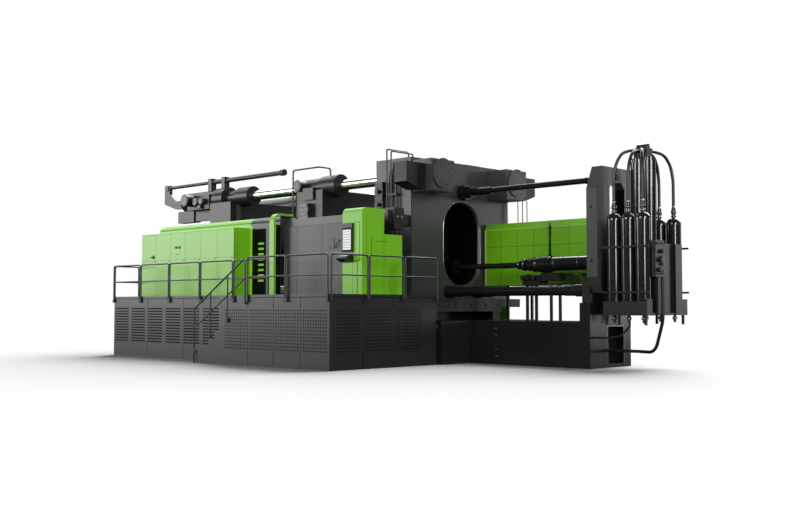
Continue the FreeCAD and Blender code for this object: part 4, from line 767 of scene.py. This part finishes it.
def clamping():
    lo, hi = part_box("clamp_cylinders")
    z, bar_y = bar_axis()
    end = lo.x + PUMP_REACH
    heads = []
    for s in (-1, 1):
        y = bar_y * s
        heads += ring_bolts((end, y, z), (-1, 0, 0), *PUMP_BOLTS)
        heads += ring_bolts((hi.x - COLLAR_L, y, z), (-1, 0, 0), *COLLAR_BOLTS)
        heads += ring_bolts((hi.x, y, z), (1, 0, 0), *COLLAR_BOLTS)
    hexes("clamp_bolts", heads, BLACK)
    x = end + CLAMP_MOTOR_X
    motor_z = z + MOTOR_RISE
    face = lo.y
    drums("clamp_motor_lid",
          [((x, face + THIN, motor_z), (x, face - LID_OUT, motor_z), CLAMP_LID_R)], CAST,
          sides=CLAMP_LID_SIDES)
    hexes("clamp_motor_bolts",
          ring_bolts((x, face, motor_z), (0, -1, 0), *CLAMP_MOTOR_BOLTS), STEEL)
    side = -bar_y - CHEST_D
    drums("clamp_side_valves",
          [((x, side, z - drop), (x, side - reach, z - drop), radius)
           for x, drop, reach, radius in SIDE_VALVES], CAST)
    boxes("clamp_chest_lid",
          on_front(side, [(*CHEST_X, z + foot, z + top) for foot, top in CHEST_LINES],
                   CHEST_LINE_T), BLACK)
    bed_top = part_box("machine_bed")[1].z
    front = -bar_y - POST_IN
    boxes("clamp_front_posts",
          [(x, x + POST_W, front, front + POST_W, bed_top, z - drop)
           for x, drop in FRONT_POSTS], CAST)


def guides():
    lo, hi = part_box("tie_bar_guides")
    z, bar_y = bar_axis()
    body = "moving_platen"
    x = lo.x + GUIDE_MOTOR_X
    cap_z = z + GUIDE_MOTOR_RISE
    face = lo.y
    hexes("guide_motor_bolts",
          ring_bolts((x, face, cap_z), (0, -1, 0), *GUIDE_MOTOR_BOLTS), STEEL, body)
    drums("guide_motor_lid",
          [((x, face + THIN, cap_z), (x, face - LID_OUT, cap_z), GUIDE_LID_R)], CAST, body)
    collar = []
    for s in (-1, 1):
        collar += ring_bolts((hi.x, bar_y * s, z), (1, 0, 0), *COLLAR_BOLTS)
    hexes("guide_collar_bolts", collar, BLACK, body)
    stack_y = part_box("moving_platen")[0].y - GUIDE_STACK_OUT
    faces = []
    for k in range(GUIDE_STACKS):
        step = GUIDE_STACK_STEP * (k % 2)
        foot = GUIDE_STACK_Z0 + GUIDE_STACK_PITCH * k
        faces.append((GUIDE_STACK_X[0] + step, GUIDE_STACK_X[1] - step,
                      stack_y - GUIDE_STACK_Y[0], stack_y + GUIDE_STACK_Y[1], foot,
                      foot + GUIDE_STACK_H))
    boxes("guide_stack_faces", faces, CAST, body)


# ------------------------------------------------------------------ injection end
BASE_JOINTS = (1.29, 1.96, 2.17)
BASE_JOINT_Z = (0.04, 1.16)
BASE_LINE_Z = (0.03, 0.04)
BASE_BOLT_X = (2.03, 2.10)
BASE_BOLT_Z = (0.22, 0.42, 0.82, 1.0)
BASE_BOLT_R = 0.018
RECESS_Y = (-0.15, 0.62)
RECESS_Z = (0.10, 1.08)
RECESS_BACK = (0.119, 0.117)  # plate of painted shade at the back of the recess, its depth from the end of the base
RECESS_RIM = 0.012
SHOT_FLANGE_BOLTS = (12, 0.228, 0.011, 0.004)
COUPLING_SIDES = 32
CYLINDER_SIDES = 40
COUPLING_BANDS = ((2.155, 2.185, 0.1225), (2.36, 2.39, 0.168), (2.80, 2.84, 0.2155))
CYLINDER_BANDS = (3.42, 4.2, 4.98)
BAND_W = 0.03
CYLINDER_BAND_R = 0.1965
SHOT_LINE_R = 0.018
SHOT_LINES = (
    ((2.49, -0.33, 2.40), (2.49, -0.38, 2.40), (2.55, -0.40, 2.30), (2.75, -0.40, 2.22),
     (3.2, -0.34, 2.22), (4.2, -0.30, 2.22), (5.06, -0.30, 2.24)),
    ((4.30, -0.65, 2.17), (4.33, -0.64, 2.36), (4.50, -0.61, 2.46), (4.68, -0.63, 2.38),
     (4.72, -0.65, 2.19)),
)
SHOT_Z = 2.775               # axis of the shot cylinder
UPPER_ROD_Z = 5.0
ROD_NUT = (0.03, 0.09)       # height and radius
END_CAP_R = 0.18
END_CAP_SIDES = 36
PLUG_X = (0.12, 0.18)
PLUG_Z = (4.15, 2.75)
PLUG_H = 0.05
WINDOW_SHADE_X = (0.31, 0.01)
WINDOW_SHADES_Y = ((-0.359, -0.357), (0.357, 0.359))
WINDOW_SHADE_Z = (3.26, 4.70)


def base_panels():
    lo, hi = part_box("shot_base")
    y = lo.y
    seams = [(x - SEAM, x + SEAM, *BASE_JOINT_Z) for x in BASE_JOINTS]
    seams.append((lo.x, hi.x, *BASE_LINE_Z))
    boxes("base_joints", on_front(y, seams), DEEP)
    hexes("base_bolts",
          [((x, y + SINK, z), (x, y - LID_OUT, z), BASE_BOLT_R)
           for x in BASE_BOLT_X for z in BASE_BOLT_Z], BRIGHT)
    end = hi.x
    y0, y1 = RECESS_Y
    z0, z1 = RECESS_Z
    boxes("recess_rim",
          on_end(end, [(y0 - RECESS_RIM, y0, z0, z1), (y1, y1 + RECESS_RIM, z0, z1),
                       (y0, y1, z1, z1 + RECESS_RIM)]), BRIGHT)
    # Painted shade: a dark plate at the back of the recess in the base's end.
    boxes("recess_back_shade",
          [(end - RECESS_BACK[0], end - RECESS_BACK[1], y0 + SINK, y1 - SINK, z0 + SINK,
            z1 - SINK)], DEEP)


def shot_unit():
    lo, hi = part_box("shot_cylinder")
    z = (lo.z + hi.z) / 2
    hexes("shot_flange_bolts",
          ring_bolts((lo.x, 0, z), (-1, 0, 0), *SHOT_FLANGE_BOLTS), BRIGHT)
    drums("coupling_bands",
          [((x0, 0, z), (x1, 0, z), radius) for x0, x1, radius in COUPLING_BANDS], BRIGHT,
          "shot_plunger", sides=COUPLING_SIDES)
    drums("shot_cylinder_bands",
          [((x, 0, z), (x + BAND_W, 0, z), CYLINDER_BAND_R) for x in CYLINDER_BANDS], STEEL,
          sides=CYLINDER_SIDES)
    lines("shot_valve_lines", SHOT_LINES, SHOT_LINE_R, BLACK)


def injection_frame():
    lo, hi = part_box("shot_frame")
    x = hi.x
    boxes("frame_side_plugs",
          on_front(lo.y, [(lo.x + PLUG_X[0], lo.x + PLUG_X[1], z, z + PLUG_H)
                          for z in PLUG_Z]), DEEP)
    # Painted shade: dark sheets on the side walls of the frame's window.
    boxes("frame_window_shade",
          [(x - WINDOW_SHADE_X[0], x - WINDOW_SHADE_X[1], *span, *WINDOW_SHADE_Z)
           for span in WINDOW_SHADES_Y], DEEP)
    hexes("frame_rod_nuts",
          [((x, 0, UPPER_ROD_Z), (x + ROD_NUT[0], 0, UPPER_ROD_Z), ROD_NUT[1])], BLACK)
    drums("cylinder_end_cap", [((x, 0, SHOT_Z), (x + THIN, 0, SHOT_Z), END_CAP_R)], STEEL,
          sides=END_CAP_SIDES)


ENC_PANELS = 7
ENC_TOP_IN = 0.20            # panels end below the roof
ENC_FOOT = 0.03
ENC_LINES_Z = ((3.385, 3.397), (2.72, 2.73))
HIGHLIGHT_T = 0.006
HIGHLIGHT_RISE = (0.005, 0.025)
STRIP_X = (0.002, 0.06)
STRIP_FOOT = 0.02
ROD_X = 2.50
ROD_Z = (3.05, 4.02)
ROD_OUT = 0.03
ROD_R = 0.022
ROD_FOOT = 0.04
ROD_FEET_Z = (3.06, 3.86)
ROD_FOOT_H = 0.06


def side_enclosure():
    lo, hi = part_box("side_enclosure")
    y = lo.y
    x0 = lo.x
    x1 = hi.x
    top = hi.z - ENC_TOP_IN
    pitch = (x1 - x0) / ENC_PANELS
    joints = [(x0 + pitch * k - SEAM, x0 + pitch * k + SEAM, lo.z + ENC_FOOT, top)
              for k in range(1, ENC_PANELS)]
    joints += [(x0, x1, *span) for span in ENC_LINES_Z]
    boxes("enclosure_joints", on_front(y, joints, THIN), DARK_GREEN)
    # Painted highlight: pale green lines along the top and the left edge of the enclosure front,
    # where light catches the edges.
    boxes("enclosure_top_highlight",
          on_front(y, [(x0, x1, top + HIGHLIGHT_RISE[0], top + HIGHLIGHT_RISE[1])], HIGHLIGHT_T), GREEN_HIGHLIGHT)
    boxes("enclosure_side_highlight",
          on_front(y, [(x0 + STRIP_X[0], x0 + STRIP_X[1], lo.z + STRIP_FOOT, top)],
                   HIGHLIGHT_T),
          GREEN_HIGHLIGHT)
    drums("enclosure_rod",
          [((ROD_X, y - ROD_OUT, ROD_Z[0]), (ROD_X, y - ROD_OUT, ROD_Z[1]), ROD_R)], BLACK)
    boxes("enclosure_rod_feet",
          on_front(y, [(ROD_X - ROD_FOOT, ROD_X + ROD_FOOT, z, z + ROD_FOOT_H)
                       for z in ROD_FEET_Z], ROD_OUT), BLACK)


# ------------------------------------------------------------------ accumulators
BOTTLE_R = 0.188
BOTTLES = 3                  # in each of the two rows
VALVE_TOP = 0.235            # top of the valve above the bottle's dome
FAR_DROP = 0.07              # the far row stands lower
TRAY_RISE = 0.24             # where the stubs start, above the foot of the rack
BOTTLE_NUT = (0.10, 0.17, 0.072)                # foot, top, radius
COLLARS = ((0.02, 0.05, 0.068), (0.235, 0.30, 0.045))
STUB_L = 0.18
STUB_R = 0.035
STUB_NUT = (0.04, 0.11, 0.06)
PORTS = 4
PORT_PITCH = 0.09
PORT_Y = 0.07
PORT_Z = 0.08
PORT_X = 0.11
LOW_PORT = (0.02, 0.022)     # height and radius
HIGH_PORT = (0.03, 0.026)
RACK_COIL_Y = (0.26, 0.36)
RACK_COIL_D = 0.07
RACK_COIL_Z = (0.12, 0.20)
RACK_COIL_PITCH = 0.16
CONDUITS = 3
CONDUIT_R = 0.014
CONDUIT_AT = (0.30, 2.35)
CONDUIT_PITCH = (0.07, 0.14)
CONDUIT_START = 0.02         # above the foot of the lock housings
CONDUIT_DROP = 0.25
CONDUIT_LEAN = 0.02
CONDUIT_RISE = 0.35
ROOF_Z = 4.09                # where the conduits reach the roof of the enclosure


def accumulators():
    lo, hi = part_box("gas_bottles")
    row_y = hi.y - BOTTLE_R
    first = lo.x + BOTTLE_R
    pitch = (hi.x - lo.x - 2 * BOTTLE_R) / (BOTTLES - 1)
    tray_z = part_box("accumulator_rack")[0].z + TRAY_RISE
    nuts = []
    collars = []
    stubs = []
    stub_nuts = []
    for s in (-1, 1):
        top = hi.z - VALVE_TOP - (FAR_DROP if s > 0 else 0.0)
        for k in range(BOTTLES):
            x = first + pitch * k
            y = s * row_y
            nuts.append(upright(x, y, top, BOTTLE_NUT))
            collars += [upright(x, y, top, ring) for ring in COLLARS]
            stubs.append(((x, y, tray_z), (x, y, tray_z - STUB_L), STUB_R))
            stub_nuts.append(((x, y, tray_z - STUB_NUT[0]), (x, y, tray_z - STUB_NUT[1]),
                              STUB_NUT[2]))
    hexes("bottle_nuts", nuts, STEEL)
    drums("bottle_collars", collars, BRIGHT)
    drums("bottle_stubs", stubs, CAST)
    hexes("bottle_stub_nuts", stub_nuts, BRIGHT)
    lo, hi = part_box("rack_valve_block")
    x = lo.x + PORT_X
    ports = []
    for k in range(PORTS):
        y = lo.y + PORT_Y + PORT_PITCH * k
        for z, (height, radius) in ((lo.z + PORT_Z, LOW_PORT), (hi.z - PORT_Z, HIGH_PORT)):
            ports.append(((x, y, z), (x + height, y, z), radius))
    drums("rack_valve_ports", ports, BLACK)
    coils = []
    for k in range(PORTS):
        z = lo.z + RACK_COIL_PITCH * k
        coils.append((x, x + RACK_COIL_D, lo.y + RACK_COIL_Y[0], lo.y + RACK_COIL_Y[1],
                      z + RACK_COIL_Z[0], z + RACK_COIL_Z[1]))
    boxes("rack_valve_coils", coils, CAST)


def upright(x, y, base, shape):
    """Upright round piece from its foot and top above the base, and its radius."""
    foot, top, radius = shape
    return (x, y, base + foot), (x, y, base + top), radius


def head_conduits():
    """Thin conduits that drop from the far lock housing to the enclosure roof."""
    lo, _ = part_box("lock_housings")
    start = lo.z + CONDUIT_START
    runs = []
    for k in range(CONDUITS):
        x = CONDUIT_AT[0] + CONDUIT_PITCH[0] * k
        y = CONDUIT_AT[1] + CONDUIT_PITCH[1] * k
        runs.append([(x, y, start), (x, y, start - CONDUIT_DROP),
                     (x + CONDUIT_LEAN, y - CONDUIT_LEAN, ROOF_Z + CONDUIT_RISE),
                     (x, y, ROOF_Z)])
    lines("head_conduits", runs, CONDUIT_R, BLACK)


# ------------------------------------------------------------------ stadium opening
SLOT_R = 0.79
SLOT_MID = (3.015, 3.905)    # centres of the two round ends of the opening
SLOT_STEPS = 24
BEAD_OUT = 0.052             # bead outside the opening, on the edge of its bevel
BEAD_R = 0.012
SHADE_FRONT = -0.058
SHADE_REAR = 0.165           # painted shade ends before the die-side face
SHADE_WALL = (0.001, 0.005)       # outside and inside of the painted shade sheet, within the opening


def slot_outline(x, radius):
    ring = []
    for middle, start in ((SLOT_MID[1], 0.0), (SLOT_MID[0], math.pi)):
        for k in range(SLOT_STEPS + 1):
            a = start + math.pi * k / SLOT_STEPS
            ring.append((x, radius * math.cos(a), middle + radius * math.sin(a)))
    return ring


def slot_trim():
    """Polished bead of the stadium opening in the fixed platen, and a dark sheet of painted
    shade on its walls.
    """
    loop_tube("slot_bead", slot_outline(0.0, SLOT_R + BEAD_OUT), BEAD_R, BRIGHT)
    # Painted shade: a dark sheet lining the walls of the opening.
    front = SHADE_FRONT
    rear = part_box("fixed_platen")[0].x + SHADE_REAR
    outer = SLOT_R - SHADE_WALL[0]
    inner = SLOT_R - SHADE_WALL[1]
    rings = [slot_outline(x, radius)
             for x, radius in ((front, outer), (rear, outer), (rear, inner), (front, inner))]
    count = len(rings[0])
    verts = [point for ring in rings for point in ring]
    faces = []
    for j in range(len(rings)):
        n = (j + 1) % len(rings)
        for i in range(count):
            m = (i + 1) % count
            faces.append([j * count + i, j * count + m, n * count + m, n * count + i])
    piece("slot_shade_sheet", verts, faces, DEEP)


# ------------------------------------------------------------------ stage
WHITE = (1.0, 1.0, 1.0, 1.0)
FLOOR_HALF = 400.0
FLOOR_Z = -0.002
FLOOR_GLOW = 0.04
WORLD_LIGHT = 0.10           # what the background adds to the pieces
LENS = 46.04
SENSOR = 36.0
CLIP_END = 2000.0
CAMERA_AT = (20.009, -23.344, 1.63)
CAMERA_TURN = 43.98
CAMERA_TILT = 2.73
LAMPS = (                    # name, place, aim, width, height, watts
    ("key", (-38.0, -27.0, 10.0), (-6.0, -5.0, 2.5), 24.0, 15.0, 5300.0),
    ("front", (2.0, -40.0, 16.0), (-4.0, -3.0, 2.5), 22.0, 14.0, 7500.0),
    ("overhead", (-32.0, 5.0, 28.0), (-4.0, -1.0, 3.0), 32.0, 26.0, 5400.0),
    ("top_strip", (-16.0, 22.0, 36.0), (4.0, 0.0, 2.5), 16.0, 16.0, 2600.0),
    ("end_panel", (35.5, 56.5, 8.0), (3.0, 0.0, 3.0), 18.0, 17.0, 2100.0),
    ("fill", (34.0, -12.0, 13.0), (2.0, -2.0, 2.5), 12.0, 10.0, 5000.0),
    ("edge", (37.0, -22.0, 6.5), (5.3, -1.0, 3.5), 7.0, 7.0, 2200.0),
)
SUN_POWER = 4.3
SUN_ANGLE = 60.0
SUN_TURN = (-45.0, -8.0)


def soft_light(name, at, aim, width, height, power, unlit):
    """Rectangular lamp that leaves the pieces in the collection unlit."""
    data = bpy.data.lights.new(name, "AREA")
    data.shape = "RECTANGLE"
    data.size = width
    data.size_y = height
    data.energy = power
    light = bpy.data.objects.new(name, data)
    light.location = at
    way = Vector(aim) - Vector(at)
    light.rotation_euler = way.to_track_quat("-Z", "Y").to_euler()
    bpy.context.scene.collection.objects.link(light)
    light.light_linking.receiver_collection = unlit


def make_floor():
    """Pale floor that the machine neither mirrors nor takes light from."""
    h = FLOOR_HALF
    mesh = bpy.data.meshes.new("floor")
    mesh.from_pydata([(-h, -h, FLOOR_Z), (h, -h, FLOOR_Z), (h, h, FLOOR_Z), (-h, h, FLOOR_Z)],
                     [], [(0, 1, 2, 3)])
    pale = finish_of("floor_pale", (0.92, 0.92, 0.92), 0.8, vary=0.01, patch=0.05, specular=0.0)
    glow = pale.node_tree.nodes["Principled BSDF"]
    glow.inputs["Emission Color"].default_value = WHITE
    glow.inputs["Emission Strength"].default_value = FLOOR_GLOW
    mesh.materials.append(pale)
    floor = bpy.data.objects.new("floor", mesh)
    bpy.context.scene.collection.objects.link(floor)
    floor.visible_glossy = False
    floor.visible_diffuse = False
    return floor


def make_world():
    """Background that is white to the camera and faint to the pieces."""
    world = bpy.data.worlds.new("studio")
    world.use_nodes = True
    tree = world.node_tree
    back = tree.nodes["Background"]
    back.inputs["Color"].default_value = WHITE
    back.inputs["Strength"].default_value = WORLD_LIGHT
    seen = tree.nodes.new("ShaderNodeBackground")
    seen.inputs["Color"].default_value = WHITE
    seen.inputs["Strength"].default_value = 1.0
    path = tree.nodes.new("ShaderNodeLightPath")
    mix = tree.nodes.new("ShaderNodeMixShader")
    tree.links.new(path.outputs["Is Camera Ray"], mix.inputs["Fac"])
    tree.links.new(back.outputs["Background"], mix.inputs[1])
    tree.links.new(seen.outputs["Background"], mix.inputs[2])
    tree.links.new(mix.outputs["Shader"], tree.nodes["World Output"].inputs["Surface"])
    bpy.context.scene.world = world


def stage():
    floor = make_floor()
    make_world()
    unlit = bpy.data.collections.new("unlit")
    unlit.objects.link(floor)
    unlit.collection_objects[0].light_linking.link_state = "EXCLUDE"
    for lamp in LAMPS:
        soft_light(*lamp, unlit)
    sun = bpy.data.lights.new("sky", "SUN")
    sun.energy = SUN_POWER
    sun.angle = math.radians(SUN_ANGLE)
    high = bpy.data.objects.new("sky", sun)
    high.rotation_euler = (math.radians(SUN_TURN[0]), math.radians(SUN_TURN[1]), 0.0)
    bpy.context.scene.collection.objects.link(high)
    bpy.context.scene.view_settings.view_transform = "Standard"


def camera():
    data = bpy.data.cameras.new("camera")
    data.lens = LENS
    data.sensor_width = SENSOR
    data.sensor_fit = "HORIZONTAL"
    data.clip_end = CLIP_END
    cam = bpy.data.objects.new("camera", data)
    cam.location = CAMERA_AT
    cam.rotation_euler = (math.radians(90.0 + CAMERA_TILT), 0.0, math.radians(CAMERA_TURN))
    bpy.context.scene.collection.objects.link(cam)
    bpy.context.scene.camera = cam


dress_nodes()
platform()
cabinet()
sign_and_guard()
door()
tower()
platen()
platen_side()
platen_valves()
clamping()
guides()
base_panels()
shot_unit()
injection_frame()
side_enclosure()
accumulators()
head_conduits()
slot_trim()
stage()
camera()
